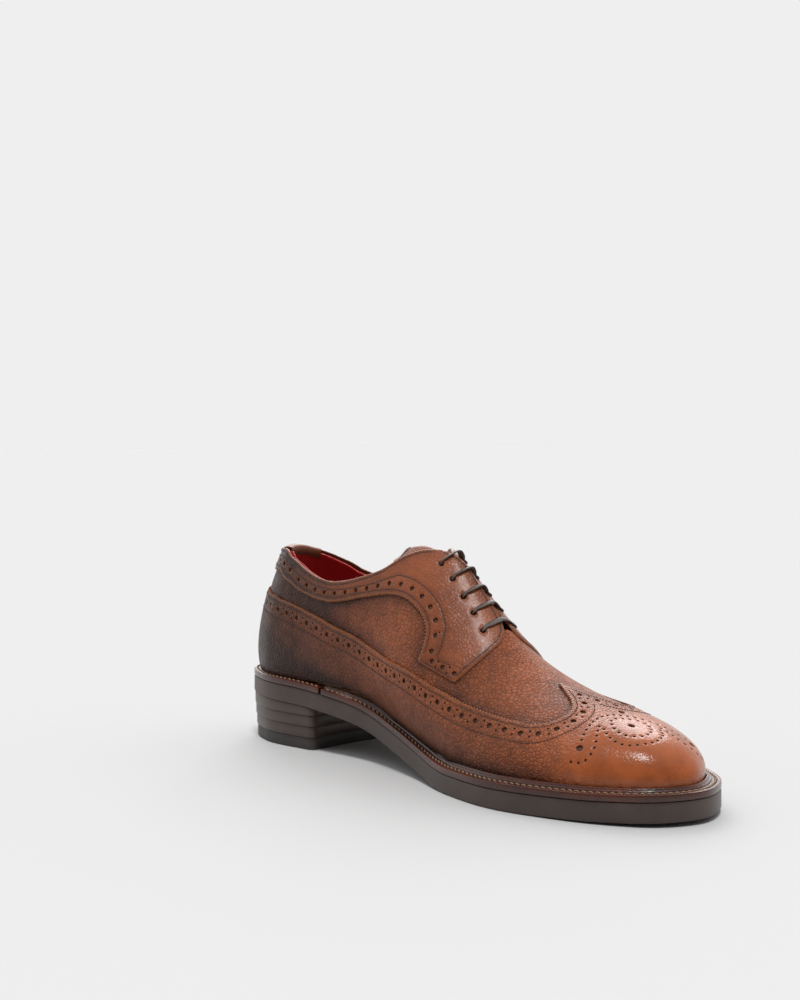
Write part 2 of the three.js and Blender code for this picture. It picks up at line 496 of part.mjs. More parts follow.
// ---------------------------------------------------------------- sole unit
sheet('outsole', 0, null, null, l => bottom(l), l => bottom(l) + SOLE);
{
  const m0 = outIndex(-1, 76), m1 = outIndex(1, 76), n = OUT.length;
  // the outline runs up the outer side, over the toe and down the inner side
  const toeFrom = m1, toeTo = m0 > m1 ? m0 : m0 + n;
  const lo = SOLE + GAP, hi = SOLE + WELT;
  const reach = (l, x) => { // how far the upper leans out just above its lower edge
    const side = x > ridgeX(Math.min(Math.max(l, LH), LA)) ? 1 : -1;
    const t = l > LH && l < LA ? tOfSide(side, Math.min(l, F[IT][1])) : null;
    if (t === null) return .6;
    const p = skin(plane(t, vOfHeight(t, floor(l) + 4.2)), 4.8), f = F[mod(Math.round(t), N)];
    return Math.max(.6, Math.abs(p[0] - f[0]) - UPPER);
  };
  const bead = (l, x) => {
    const m = margin(l), r = reach(l, x), e1 = m - r - .45, wdt = Math.min(2.4, Math.max(.9, (m - r) * .45)), h = Math.min(1.9, wdt * .8);
    return [[.5, lo], [.5, hi], [e1 - wdt, hi], [e1 - wdt * .8, hi + h * .8], [e1 - wdt * .45, hi + h], [e1 - wdt * .1, hi + h * .7], [e1, hi - .02], [m + UPPER - .4, hi - .02], [m + UPPER - .4, lo]];
  };
  strip('welt', bead, toeFrom + 2, toeTo - 2, 60);
  const rand = l => { const m = margin(l); return [[.5, lo], [.5, hi], [m + UPPER - .4, hi], [m + UPPER - .4, lo]]; };
  strip('heel_rand', rand, toeTo + 2, toeFrom + n - 2 > toeTo ? toeFrom + n - 2 : toeFrom + 2 * n - 2, 34);
  const rib = l => { const m = margin(l) + UPPER; return [[m + 2.4, SOLE + .3], [m + 2.4, SOLE + 1.2], [m + 4.4, SOLE + 1.2], [m + 4.4, SOLE + .3]]; };
  strip('insole_rib', rib, toeFrom + 60, toeTo - 60, 52);
}
sheet('insole', l => margin(l) + UPPER + .4, null, null, l => bottom(l) + SOLE + 1.5, l => floor(l) - .1);
sheet('sock_liner', l => margin(l) + UPPER + 1, null, null, l => floor(l) + .2, l => floor(l) + 1);
sheet('cork_filler', l => margin(l) + UPPER + 4.7, 158, null, l => bottom(l) + SOLE + .3, l => bottom(l) + SOLE + 1.2);
slab('shank', l => ridgeX(Math.max(l, LH)) + 1.5, l => ridgeX(Math.max(l, LH)) + 15.5, stations(58, 154, 8), l => bottom(l) + SOLE + .3, l => bottom(l) + SOLE + 1.2);
{
  const lifts = [['heel_top_piece', 0, 6.4], ['heel_lift_1', 6.7, 12.4], ['heel_lift_2', 12.7, 18.4], ['heel_lift_3', 18.7, null]];
  for (const [name, a, b] of lifts) {
    const e = 1.9 - a / 18.7 * 1.4;
    sheet(name, e, null, 70 - (18.7 - a) * .08, () => a, l => b === null ? bottom(l) - .3 : b, undefined, 9);
  }
}

// ---------------------------------------------------------------- upper patterns
const BACK = .35;    // half the gap of the back seam, degrees round the heel
const backAngle = side => side * BACK;
// topline from the back of the heel to the top of the front opening
const TOPLINE = {
  1: { back: [[35, 101], [60, 96.8]], side: [[36, 92.4], [45, 89], [56, 86.4], [70, 84.9], [85, 85.3], [101, 90]] },
  [-1]: { back: [[35, 103.2]], side: [[34, 103], [49, 97.6], [58, 94.3], [68, 91.7], [78, 90.3], [86, 90.6], [97, 92.6]] },
};
function topline(side, drop = 0) {
  const { back, side: along } = TOPLINE[side];
  return [heel(backAngle(side), 104 - drop), ...back.map(([deg, z]) => heel(side * deg, z - drop)), ...along.map(([l, z]) => wall(side, l, z - drop)),
    top(side, 117 + drop * .6, 30 + drop * .5), top(side, 126.5 + drop, 19 + drop * .4), top(side, 135.5 + drop, 9.5), top(side, 143 + drop, 3.6)];
}
const AFTER_CORNER = 3;  // the last points of the topline, forward of the quarter and its lining
const underCorner = (side, drop) => topline(side, drop).slice(0, -(AFTER_CORNER - 1));
const BAND = {
  1: { back: [[BACK, 93], [35, 90], [60, 86.6]], side: [[36, 82.6], [46, 79], [57, 76.3], [70, 74.8], [84, 75.2], [98, 77.8], [111, 81.6], [122, 85], [132, 86.6], [140, 85.2], [148, 81.4], [154, 76.4], [157.6, 71], [159.2, 65], [159.2, 57.5]] },
  [-1]: { back: [[BACK, 93], [40, 92.4]], side: [[34.5, 91.3], [46, 86.9], [55, 83.8], [63, 82.1], [71, 80.8], [80, 80.2], [93, 81.6], [108, 84.5], [120, 86.3], [130, 86.9], [138, 85.7], [146, 82.2], [152.5, 77.2], [156.2, 72.2], [158, 65.5], [158, 57.5]] },
};
const bandLow = side => [...BAND[side].back.map(([deg, z]) => heel(side * deg, z)), ...BAND[side].side.map(([l, z]) => wall(side, l, z))];
const frontEdge = side => [wall(side, 181, 49), top(side, 184.1, 29), top(side, 186.2, 20), top(side, 187.4, 11), top(side, 187.1, 5.5), top(side, 184.4, side > 0 ? 3 : 1.75)];
// the gap between the facings lies a little to the outer side of the ridge
const RIDGE_EDGE = { 1: [3, 2, 1.4, 1.3, 1.3, 1.7, 2.4], [-1]: [1.75, .3, .15, .15, .15, 1, 2] };
const ridgeEdge = side => [...[184.4, 179, 172, 162, 155, 150, 146].map((l, i) => top(side, l, RIDGE_EDGE[side][i])), top(side, 143, 3.6)];
const WING = {
  1: { flat: [[218.5, 0], [225, 3], [232.5, 7], [239, 12.5], [241.5, 19], [239, 26], [232, 32]], side: [[221, 36], [206, 38], [184, 42.5], [161, 49.5], [135, 56.5], [109, 63], [85, 69], [60, 74.5]] },
  [-1]: { flat: [[218.5, 0], [225, 3], [232.5, 6.8], [238, 12.4], [239, 18.3], [236, 24.3], [229, 29.5]], side: [[221, 34.6], [209, 36.3], [198, 38.5], [184, 42.3], [165.5, 48.4], [147, 54.2], [117.5, 60.4], [91, 67.1], [70, 72.3], [51, 76.1]] },
};
const wingEdge = side => [...WING[side].flat.map(([l, w]) => top(side, l, w)), ...WING[side].side.map(([l, z]) => wall(side, l, z)),
  heel(side * 60, 79.5), heel(side * 30, 81), heel(side * BACK, 81.5)];
function featherRun(t0, t1) {
  const step = N / ROWS, s = t1 > t0 ? 1 : -1, r = [t0];
  for (let k = s > 0 ? Math.ceil(t0 / step + .2) : Math.floor(t0 / step - .2); s * (t1 - k * step) > step * .2; k += s) r.push(k * step);
  r.push(t1);
  return r.map(t => [...plane(t, 0), 2]);
}
const tBack = side => tOfAngle(side * BACK * Math.PI / 180, false);
const T = (side, l) => tOfSide(side, l);

// eyelets: five a side
const EYES = [[148, 8.3], [156, 8.7], [164, 9.3], [171.5, 9.6], [179, 10.8]];
const EYE_R = 2.1;
const eyeHoles = side => EYES.map(([l, w]) => ({ x: top(side, l, w)[0], l, r: EYE_R, n: 9, stretch: 1.38 }));

const OV = [3.9, 4.8], BASE = [2.2, 2.9], STIFF = [1.2, 1.8], LINE = [0, .7];
{
  // long wing piece: from the back seam round the toe to the back seam again
  const a = wingEdge(1), b = wingEdge(-1);
  const up = curve(a, 90), down = curve(b, 90);
  leather('wing_cap', join(up.slice().reverse().map((p, i, r) => i === r.length - 1 ? corner(p) : p), down, [corner(plane(N + tBack(-1), 0))], featherRun(N + tBack(-1), tBack(1), 150)), ...OV, [], 9);
}
for (const side of [1, -1]) {
  const nm = side > 0 ? 'lateral' : 'medial';
  const t = curve(topline(side), 70), f = curve(frontEdge(side), 30), r = curve(ridgeEdge(side), 30), b = curve(bandLow(side), 70);
  leather('facing_' + nm, join(t, r.slice().reverse(), f.slice().reverse(), [corner(b[b.length - 1])], b.slice().reverse()), ...OV, eyeHoles(side), 7.5);
  // quarter under the facing and collar band, its lower edge under the wing
  const corners = underCorner(side, 1.2), last = corners[corners.length - 1];
  const qt = curve(corners, 50);
  const qf = curve([last, top(side, 132, 25), top(side, 150, 24), top(side, 163, 25.5), wall(side, 169.5, 66), wall(side, 169.7, 55), wall(side, 169.7, side > 0 ? 39.5 : 40)], 30);
  const we = side > 0 ? [[169.7, 39.5], [135, 48.5], [109, 54.5], [85, 60], [60, 66]] : [[169.7, 40], [138, 48], [112, 53], [87, 59], [60, 66]];
  const ql = curve([...we.map(([l, z]) => wall(side, l, z)), heel(side * 60, 70.5), heel(side * 30, 72), heel(side * BACK, 72.5)], 50);
  leather('quarter_' + nm, join(qt, qf, ql), ...BASE);
  // quarter lining, cut back where the tongue lies
  const inner = underCorner(side, .6);
  const lt = curve(inner, 50);
  const lf = curve([inner[inner.length - 1], top(side, 130, 28), top(side, 150, 26), top(side, 168, 27), wall(side, 173, 60), wall(side, 173, 40), edge(side, 173)], 30);
  leather('lining_quarter_' + nm, join(lt, lf, featherRun(side > 0 ? T(1, 173) : T(-1, 173), side > 0 ? tBack(1) : N + tBack(-1), 60)), ...LINE);
  leather('side_lining_' + nm, join(curve([[...edge(side, 92), 2], wall(side, 92, 50), wall(side, 100, 62), wall(side, 125, 66), wall(side, 150, 58), wall(side, 158, 45), edge(side, 160)], 40), featherRun(T(side, 160), T(side, 92), 30)), ...STIFF);
}
{
  // vamp: under the wing in front, under the facings behind
  const front = side => side > 0
    ? [top(1, 229, 0), top(1, 240, 5.5), top(1, 248, 13), top(1, 249, 24), top(1, 240, 36), wall(1, 223, 29.5), wall(1, 206, 31.5), wall(1, 184, 36), wall(1, 170.1, 39)]
    : [top(-1, 229, 0), top(-1, 240, 5.5), top(-1, 246, 13), top(-1, 245.5, 23), top(-1, 237, 32.6), wall(-1, 221, 28.6), wall(-1, 200, 32), wall(-1, 181, 36.5), wall(-1, 170.1, 39.5)];
  const back = side => [wall(side, 170.1, side > 0 ? 39 : 39.5), wall(side, 170.1, 55), top(side, 172.5, 27), top(side, 175, 19.5), top(side, 181.5, 18), top(side, 186, 15), top(side, 185.5, 9), top(side, 184, 0)];
  leather('vamp', join(curve(front(1).slice().reverse(), 50), curve(front(-1), 50), curve(back(-1), 40), curve(back(1).slice().reverse(), 40)), ...BASE);
  const lv = side => [edge(side, 175.5), wall(side, 175.5, 40), wall(side, 175.5, 60), top(side, 178.5, 22), top(side, 184, 13), top(side, 191, 6), top(side, 192, 0)];
  leather('lining_vamp', join(curve(lv(-1), 40), curve(lv(1).slice().reverse(), 40), featherRun(T(1, 175.5), T(-1, 175.5))), ...LINE);
  leather('toe_puff', join(curve([edge(1, 244), top(1, 246, 42), top(1, 253, 26), top(1, 256, 12), top(1, 257, 0)], 30), curve([top(-1, 257, 0), top(-1, 256, 12), top(-1, 253, 26), top(-1, 246, 42), edge(-1, 244)], 30), featherRun(T(-1, 244), T(1, 244))), 1.6, 2.4);
  const hc = side => [edge(side, 84), wall(side, 82, 50), wall(side, 70, 66), heel(side * 80, 78), heel(side * 45, 83), heel(0, 85)];
  leather('heel_counter', join(curve(hc(1), 40), curve(hc(-1).slice().reverse(), 40), featherRun(T(-1, 84) - N, T(1, 84), 90)), ...STIFF, [], 9);
}
{
  // tongue: low behind the lace row, rising to its seam under the vamp, its top rounded over the instep
  const ramp = spline1([[112, -1.2], [140, -1.2], [150, -.9], [172, -.9], [176, -.9], [183, .45], [200, .45]]);
  const drop = spline1([[113, 14.6], [120, 10.6], [125, 8], [130, 6.2], [140, 2.8], [150, .4], [156, 0]]), SPAN = 24;
  const sag = q => { const w = (q[0] - ridgeX(q[1])) / SPAN; return Math.abs(w) < 1 ? drop(q[1]) * (1 - w * w) ** 2 : 0; };
  const half = s => [top(s, 190, 0), top(s, 189.5, 4), top(s, 187, 8), top(s, 181, 8.6), top(s, 176, 13.5), top(s, 168, 18), top(s, 150, 20), top(s, 140, 21), top(s, 131, 22.5), top(s, 123, 23.3), top(s, 117.5, 20.5), top(s, 114.5, 14), top(s, 113.5, 6), top(s, 113.3, 0)];
  leather('tongue', join(curve(half(1), 60), curve(half(-1).slice().reverse(), 60)), p => ramp(p[1]), p => ramp(p[1]) + 1, [], 7.5, sag);
  const lin = s => [top(s, 172, 0), top(s, 172, 8), top(s, 171, 13.5), top(s, 167, 16.6), top(s, 150, 18.8), top(s, 140, 19.8), top(s, 131, 21.3), top(s, 123.5, 21.9), top(s, 118.8, 19.4), top(s, 116.2, 13.5), top(s, 115.2, 6), top(s, 115, 0)];
  leather('tongue_lining', join(curve(lin(1), 60), curve(lin(-1).slice().reverse(), 60)), p => ramp(p[1]) - 1.4, p => ramp(p[1]) - .6, [], 7.5, sag);
}
{
  // strip that binds the topline at the back of the heel, inside and over the edge
  const verts = [], faces = [], rows = [];
  const n = 15, FROM = -33, TO = 36, edgeZ = spline1([[-35, 103.2], [0, 104], [35, 101]]);
  for (let i = 0; i < n; i++) {
    const deg = FROM + (TO - FROM) * i / (n - 1), zt = edgeZ(deg), row = [];
    const t = tOfAngle(deg * Math.PI / 180, false);
    const at = (z, d) => { const p = skin(plane(t, vOfHeight(t, z)), d); return p; };
    const over = (d, z) => [...at(zt, d).slice(0, 2), at(zt, 4.8)[2] + z];
    const levels = [3.6, 2.7, 1.8, .9, 0];
    const sec = [...levels.map(h => at(zt - h, -1.2)), over(-1.2, 1.6), over(6, 1.6), at(zt - 2.5, 6), at(zt - 2.5, 5.2), over(5.2, .8), over(-.45, .8), ...levels.slice().reverse().map(h => at(zt - h, -.45))];
    for (const p of sec) { row.push(verts.length); verts.push(out3(p)); }
    rows.push(row);
    const m = row.length;
    if (i) for (let j = 0; j < m; j++) { const r = rows[i - 1], s = rows[i], h = (j + 1) % m; faces.push([r[j], s[j], s[h]], [r[j], s[h], r[h]]); }
  }
  for (const [r, flip] of [[rows[0], 0], [rows[n - 1], 1]]) for (let j = 0; j < 7; j++) {
    const a = r[j], b = r[j + 1], c = r[14 - j], d = r[15 - j];
    flip ? faces.push([a, c, b], [a, d, c]) : faces.push([a, b, c], [a, c, d]);
  }
  solid('heel_tab', verts, faces);
}

// ---------------------------------------------------------------- lace, laced straight across
const eye = (side, i, d, dl = 0, dw = 0) => { const [l, w] = EYES[i]; return out3(skin(top(side, l + dl, w + dw), d)); };
{
  const R = 1.2, IN = 1.75, OUTD = 4.8 + .35 + R;
  const across = (from, i) => { // over the facings from one row to the other
    const [l, w] = EYES[i], p = [];
    p.push(eye(from, i, IN + .4), eye(from, i, 3.4), eye(from, i, 4.9, 0, -.3), eye(from, i, OUTD + .1, 0, -2.1));
    for (const k of [-.55, -.2, .02, .2, .55]) { const q = [ridgeX(l) - from * k * w, l]; p.push(out3(skin(q, OUTD + .6 - Math.abs(k) * .6 + (Math.abs(k) < .3 ? dip(q) * .6 : 0)))); }
    p.push(eye(-from, i, OUTD + .1, 0, -2.1), eye(-from, i, 4.9, 0, -.3), eye(-from, i, 3.4), eye(-from, i, IN + .4));
    return p;
  };
  const link = (side, i, j) => [eye(side, i, IN, (EYES[j][0] - EYES[i][0]) * .22, 0), eye(side, i, IN, (EYES[j][0] - EYES[i][0]) * .5, (EYES[j][1] - EYES[i][1]) * .5), eye(side, j, IN, (EYES[i][0] - EYES[j][0]) * .22, 0)];
  const lane = (side, l, w) => out3(skin(top(side, l, w), IN));
  const tailA = [lane(1, 152, 18.6), lane(1, 160, 18.4), lane(1, 168, 18.2), lane(1, 175, 17.6), lane(1, 180.5, 16.2), lane(1, 182.4, 14.4)];
  const tailB = [lane(-1, 149.4, 11), lane(-1, 150.6, 14.6), lane(-1, 153, 17), lane(-1, 156.5, 18.3), lane(-1, 160, 18.5), lane(-1, 163.5, 18.5)];
  const serp = [across(1, 4), link(-1, 4, 3), across(-1, 3), link(1, 3, 2), across(1, 2), link(-1, 2, 1), across(-1, 1), link(1, 1, 0), across(1, 0)].flat();
  const nodes = [...tailA, ...serp, ...tailB];
  tube('lace', spline2(nodes, 150, false), R, 6);
  const cap = (name, p, q) => {
    const d = q.map((x, i) => x - p[i]), k = Math.hypot(...d), u = d.map(x => x / k);
    tube(name, [0.35, 3.5, 7, 10.4, 10.9].map(s => p.map((x, i) => x + u[i] * s)), 1.25, 8);
  };
  const ends = [tailA[1], tailA[0], tailB[4], tailB[5]];
  cap('aglet_1', ends[1], lane(1, 141, 18.9));
  cap('aglet_2', ends[3], lane(-1, 173, 18.3));
}
for (const side of [1, -1]) EYES.forEach(([l, w], i) => {
  // thin ring under the facing round each lace hole
  const verts = [], faces = [], n = 12, sec = [[2.15, 3.05], [3.4, 3.05], [3.4, 3.5], [2.15, 3.5]];
  for (let k = 0; k < n; k++) {
    const a = 2 * Math.PI * k / n;
    for (const [r, d] of sec) verts.push(out3(skin([top(side, l, w)[0] + r * Math.cos(a), l + r * Math.sin(a) / 1.38], d)));
    for (let j = 0; j < 4; j++) { const p = k * 4 + j, q = k * 4 + (j + 1) % 4, m = ((k + 1) % n) * 4; faces.push([p, m + j, m + (j + 1) % 4], [p, m + (j + 1) % 4, q]); }
  }
  solid(`eyelet_${side > 0 ? 'lateral' : 'medial'}_${i + 1}`, verts, faces);
});

export default group;
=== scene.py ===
"""Left shoe of a pair of men's longwing brogue derbies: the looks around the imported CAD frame.

The upper is drawn on a pattern plane, as a shoemaker does: x across the ridge of the foot, l along the
shoe from the back of the heel. skin() wraps that plane round the last. Lengths are in millimetres.
"""
import math

import bmesh
import bpy
import numpy as np
from mathutils import Matrix, Vector, geometry
from mathutils.kdtree import KDTree

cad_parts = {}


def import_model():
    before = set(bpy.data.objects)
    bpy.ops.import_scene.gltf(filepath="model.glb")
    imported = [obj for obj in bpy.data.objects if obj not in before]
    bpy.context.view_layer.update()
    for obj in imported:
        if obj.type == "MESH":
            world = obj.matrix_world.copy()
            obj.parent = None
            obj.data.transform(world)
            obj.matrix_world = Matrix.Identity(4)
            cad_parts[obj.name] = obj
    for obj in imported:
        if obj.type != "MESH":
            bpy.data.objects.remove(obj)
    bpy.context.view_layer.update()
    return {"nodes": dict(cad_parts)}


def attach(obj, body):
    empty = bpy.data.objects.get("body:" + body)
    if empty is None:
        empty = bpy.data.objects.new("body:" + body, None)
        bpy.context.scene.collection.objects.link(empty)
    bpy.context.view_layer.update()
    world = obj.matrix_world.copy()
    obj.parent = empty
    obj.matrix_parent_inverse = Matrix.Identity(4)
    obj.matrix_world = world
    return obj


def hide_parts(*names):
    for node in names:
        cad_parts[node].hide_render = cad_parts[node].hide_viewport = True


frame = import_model()
MM = 0.001
LENGTH = 304.0
WIDTH = 116.0
UPPER = 4.9            # from the foot to the outside of the upper
SOLE = 9.4
WELT = 3.3
FLOOR = SOLE + WELT + 0.3

OUTSIDE = 4.8          # from the foot to the top of the outer layer of leather
OVERLAY = (3.62, OUTSIDE)   # bottom and top of each layer, measured out from the foot
BASE = (2.5, 3.55)
LINING = (0.75, -0.1)
OUT_POINTS = 1440

# ---------------------------------------------------------------- curves


def spline1(points):
    x, y = np.array(points, float).T
    h = np.diff(x)
    s = np.diff(y) / h
    m = np.concatenate([[s[0]], (s[:-1] * h[1:] + s[1:] * h[:-1]) / (h[:-1] + h[1:]), [s[-1]]])

    def value(q):
        q = np.clip(q, x[0], x[-1])
        i = np.clip(np.searchsorted(x, q) - 1, 0, len(h) - 1)
        t = (q - x[i]) / h[i]
        a, b = 2 * t**3 - 3 * t**2 + 1, t**3 - 2 * t**2 + t
        return a * y[i] + b * h[i] * m[i] + (1 - a) * y[i + 1] + (t**3 - t**2) * h[i] * m[i + 1]
    return value


def length_along(p):
    return np.concatenate([[0], np.cumsum(np.maximum(np.linalg.norm(np.diff(p, axis=0), axis=1), 1e-9))])


def curve(points, n, closed=False):
    p = np.array(points, float)
    if closed:
        p = np.concatenate([p[-2:], p, p[:3]])
    u = length_along(p)
    q = np.linspace(u[2], u[-3], n, endpoint=False) if closed else np.linspace(0, u[-1], n)
    return np.stack([spline1(list(zip(u, p[:, k])))(q) for k in range(p.shape[1])], 1)


def at_lengths(p, u, q):
    return np.stack([np.interp(q, u, p[:, k]) for k in range(p.shape[1])], 1)


# outsole outline as (x, distance from the back of the heel): outer side to the toe, inner side back
OUTLINE = [[0, 0], [21, 5], [36, 26], [40, 65], [44.5, 105], [54, 150], [62, 190], [62, 218], [52, 248],
           [37.5, 276], [19.5, 296], [-2, 304], [-23, 296], [-38.5, 275], [-48.5, 248], [-53.5, 222],
           [-49.5, 190], [-37, 152], [-30, 115], [-33.5, 70], [-34.5, 28], [-21, 5]]
_o = curve(OUTLINE, OUT_POINTS, closed=True)
_lo, _hi = _o.min(0), _o.max(0)
OUT = (_o - [(_lo[0] + _hi[0]) / 2, _lo[1]]) * [WIDTH / (_hi[0] - _lo[0]), LENGTH / (_hi[1] - _lo[1])]
margin = spline1([[0, 3.6], [60, 3.6], [110, 5], [170, 7], [304, 7.2]])
_under = spline1([[0, 25], [30, 24.5], [65, 23], [100, 18.3], [135, 9], [165, 2.2], [186, 0], [214, 0],
                  [240, .25], [270, .9], [304, 2.2]])


def bottom(l):
    return np.maximum(0, _under(l))


def floor(l):
    return bottom(l) + FLOOR


def area2(p):
    q = np.roll(p, -1, 0)
    return float(np.sum(p[:, 0] * q[:, 1] - q[:, 0] * p[:, 1]))


def inset(p, e):
    """A closed outline moved inwards by e, a number or one number for each point."""
    d = np.roll(p, -1, 0) - np.roll(p, 1, 0)
    d /= np.linalg.norm(d, axis=1)[:, None]
    k = np.broadcast_to(np.asarray(e, float) * (1 if area2(p) > 0 else -1), len(p))
    return p + np.stack([-d[:, 1], d[:, 0]], 1) * k[:, None]


def resample(p, n):
    c = np.concatenate([p, p[:1]])
    u = length_along(c)
    return at_lengths(c, u, u[-1] * np.arange(n) / n)


# ---------------------------------------------------------------- the last, the form the upper is shaped on
LH, LA, N, NV = 40.0, 250.0, 480, 48
ridge_x = spline1([[LH, -5], [120, -9.5], [190, -10], [LA, -8]])
ridge_z = spline1([[LH, 128], [80, 131], [105, 128.5], [120, 122.5], [135, 115], [150, 105.5], [170, 86],
                   [190, 66], [215, 49.2], [235, 42], [LA, 37.5]])
BULGE = {1: spline1([[0, 7], [35, 10], [75, 14], [110, 13], [145, 4], [175, 2], [200, 5], [225, 6],
                     [260, 4.5], [300, 2]]),
         -1: spline1([[0, 7], [35, 10], [75, 16], [110, 24], [150, 32], [190, 16], [225, 6.5], [260, 3],
                      [300, 2]])}
RISE = {1: spline1([[0, .26], [35, .28], [75, .33], [110, .35], [145, .28], [175, .26], [200, .36],
                    [225, .48], [260, .62], [300, .68]]),
        -1: spline1([[0, .26], [35, .28], [75, .34], [110, .40], [150, .44], [190, .46], [225, .52],
                     [260, .62], [300, .68]])}
CROWN = {1: spline1([[0, .38], [40, .40], [80, .40], [110, .24], [150, .03], [190, .12], [215, .32],
                     [250, .56], [300, .56]]),
         -1: spline1([[0, .38], [40, .40], [80, .42], [110, .32], [150, .12], [190, .24], [215, .38],
                      [250, .56], [300, .56]])}


def feather():
    f = resample(inset(OUT, margin(OUT[:, 1]) + UPPER), N)
    f = np.roll(f, -int(np.argmin(f[:, 1])), 0)
    return np.concatenate([f[:1], f[1:][::-1]]) if f[6, 0] < f[0, 0] else f


def sections():
    x, l = F.T
    cl = np.clip(l, LH, LA)
    c = np.stack([ridge_x(cl), cl], 1)
    r = np.linalg.norm(F - c, axis=1)
    o = (F - c) / r[:, None]
    right = x > c[:, 0]
    b, rise, k = (np.where(right, table[1](l), table[-1](l)) for table in (BULGE, RISE, CROWN))
    z0, zr = floor(l), ridge_z(cl)
    slope = (ridge_z(LA) - ridge_z(LA - 4)) / 4
    down = np.where(l > LA, -slope * o[:, 1], 0)
    return np.stack([np.stack([x, l, z0], 1),
                     np.stack([x + o[:, 0] * b, l + o[:, 1] * b, z0 + rise * (zr - z0)], 1),
                     np.stack([c[:, 0] + o[:, 0] * k * r, c[:, 1] + o[:, 1] * k * r, zr - down * k * r], 1),
                     np.stack([c[:, 0], c[:, 1], zr], 1)], 1)


F = feather()
S = sections()
IT = int(np.argmax(F[:, 1]))


def foot(t, v):
    t = np.mod(t, N)
    i = np.floor(t).astype(int) % N
    f = (t - np.floor(t))[:, None, None]
    c = S[i] * (1 - f) + S[(i + 1) % N] * f
    w = 1 - v
    return np.einsum("nk,nkj->nj", np.stack([w**3, 3 * w * w * v, 3 * w * v * v, v**3], 1), c)


_steps = np.stack([foot(np.arange(N) * 1.0, np.full(N, k / NV)) for k in range(NV + 1)], 1)
_legs = np.linalg.norm(np.diff(_steps, axis=1), axis=2)
GIRTH = np.concatenate([np.cumsum(_legs[:, ::-1], 1)[:, ::-1], np.zeros((N, 1))], 1)
HEIGHT = _steps[:, :, 2]


def rows_at(table, t):
    t = np.mod(t, N)
    i = np.floor(t).astype(int) % N
    f = (t - np.floor(t))[:, None]
    return table[i] * (1 - f) + table[(i + 1) % N] * f


def v_of(table, t, value, falling):
    a = rows_at(table, t)
    k = np.sum((a[:, 1:] > value[:, None]) if falling else (a[:, 1:] < value[:, None]), 1)
    over = k >= NV
    k = np.minimum(k, NV - 1)
    n = np.arange(len(k))
    v = np.maximum(0, (k + (value - a[n, k]) / (a[n, k + 1] - a[n, k])) / NV)
    return np.where(over, 1.0, v)


_up = {1: np.arange(0, IT + 1), -1: np.arange(N, IT - 1, -1)}


def t_side(side, l):
    return np.interp(l, F[_up[side] % N, 1], _up[side])


CENTRE = {"toe": np.array([ridge_x(LA), LA]), "heel": np.array([ridge_x(LH), LH])}


def turn(q, end):
    s = 1 if end == "toe" else -1
    return np.arctan2(q[:, 0] - CENTRE[end][0], s * (q[:, 1] - CENTRE[end][1]))


def _turn_table(end):
    i = np.arange(-N // 2, N // 2) + (IT if end == "toe" else 0)
    p = F[i % N]
    keep = p[:, 1] > LA - 20 if end == "toe" else p[:, 1] < LH + 20
    a, i = turn(p[keep], end), i[keep]
    order = np.argsort(a)
    return a[order], i[order].astype(float)


TURNS = {end: _turn_table(end) for end in ("toe", "heel")}


def place(q):
    """Pattern points to places on the last: t round the feather edge, v up to the ridge."""
    cl = np.clip(q[:, 1], LH, LA)
    c = np.stack([ridge_x(cl), cl], 1)
    side = np.where(q[:, 0] >= c[:, 0], t_side(1, q[:, 1]), t_side(-1, q[:, 1]))
    toe, heel_end = (np.interp(turn(q, end), *TURNS[end]) for end in ("toe", "heel"))
    t = np.where(q[:, 1] > LA, toe, np.where(q[:, 1] < LH, heel_end, side))
    return t, v_of(GIRTH, t, np.linalg.norm(q - c, axis=1), True)


def plane(t, v):
    t = np.atleast_1d(np.asarray(t, float))
    v = np.atleast_1d(np.asarray(v, float))
    i = np.floor(t).astype(int)
    f = (t - i)[:, None]
    p = F[i % N] * (1 - f) + F[(i + 1) % N] * f
    cl = np.clip(p[:, 1], LH, LA)
    c = np.stack([ridge_x(cl), cl], 1)
    a = rows_at(GIRTH, t)
    k = np.minimum((v * NV).astype(int), NV - 1)
    n = np.arange(len(k))
    g = a[n, k] + (a[n, k + 1] - a[n, k]) * (v * NV - k)
    return c + (p - c) / np.linalg.norm(p - c, axis=1)[:, None] * g[:, None]


def _normals(t, w):
    a = foot(t + .8, w) - foot(t - .8, w)
    b = foot(t, np.minimum(w + .004, 1)) - foot(t, np.maximum(w - .004, 0))
    n = np.cross(a, b)
    n /= np.linalg.norm(n, axis=1)[:, None]
    return np.where(n[:, 2:] < -.9, -n, n)


_ridge_l = np.linspace(LH, LA, 60)
_ridge_n = sum(_normals(t_side(s, _ridge_l), np.full(60, .97)) for s in (1, -1))
_ridge_n /= np.linalg.norm(_ridge_n, axis=1)[:, None]


def smooth01(x):
    x = np.clip(x, 0, 1)
    return x * x * (3 - 2 * x)


# the outer side of the ridge lies this much lower, so that one facing tucks behind the other
DIP = 1.5
_dip_along = spline1([[131, 0], [140, 1], [170, 1], [182, 0]])


def dip(q):
    out = q[:, 0] - ridge_x(np.clip(q[:, 1], LH, LA))
    return DIP * _dip_along(q[:, 1]) * smooth01(out / 1.2) * (1 - smooth01((out - 1) / 12))


def skin(q, d):
    """Points d outside the last, as (x, l, z)."""
    q = np.atleast_2d(q)
    d = np.broadcast_to(d, len(q)) - dip(q)
    t, v = place(q)
    n = _normals(t, np.minimum(v, .97))
    ridge = np.stack([np.interp(q[:, 1], _ridge_l, _ridge_n[:, k]) for k in range(3)], 1)
    k = smooth01((v - .9) / .1)[:, None]
    n = n * (1 - k) + ridge * k
    n /= np.linalg.norm(n, axis=1)[:, None]
    p = foot(t, v) + n * d[:, None]
    p[:, 2] = np.maximum(p[:, 2], floor(p[:, 1]) + .02)
    return p


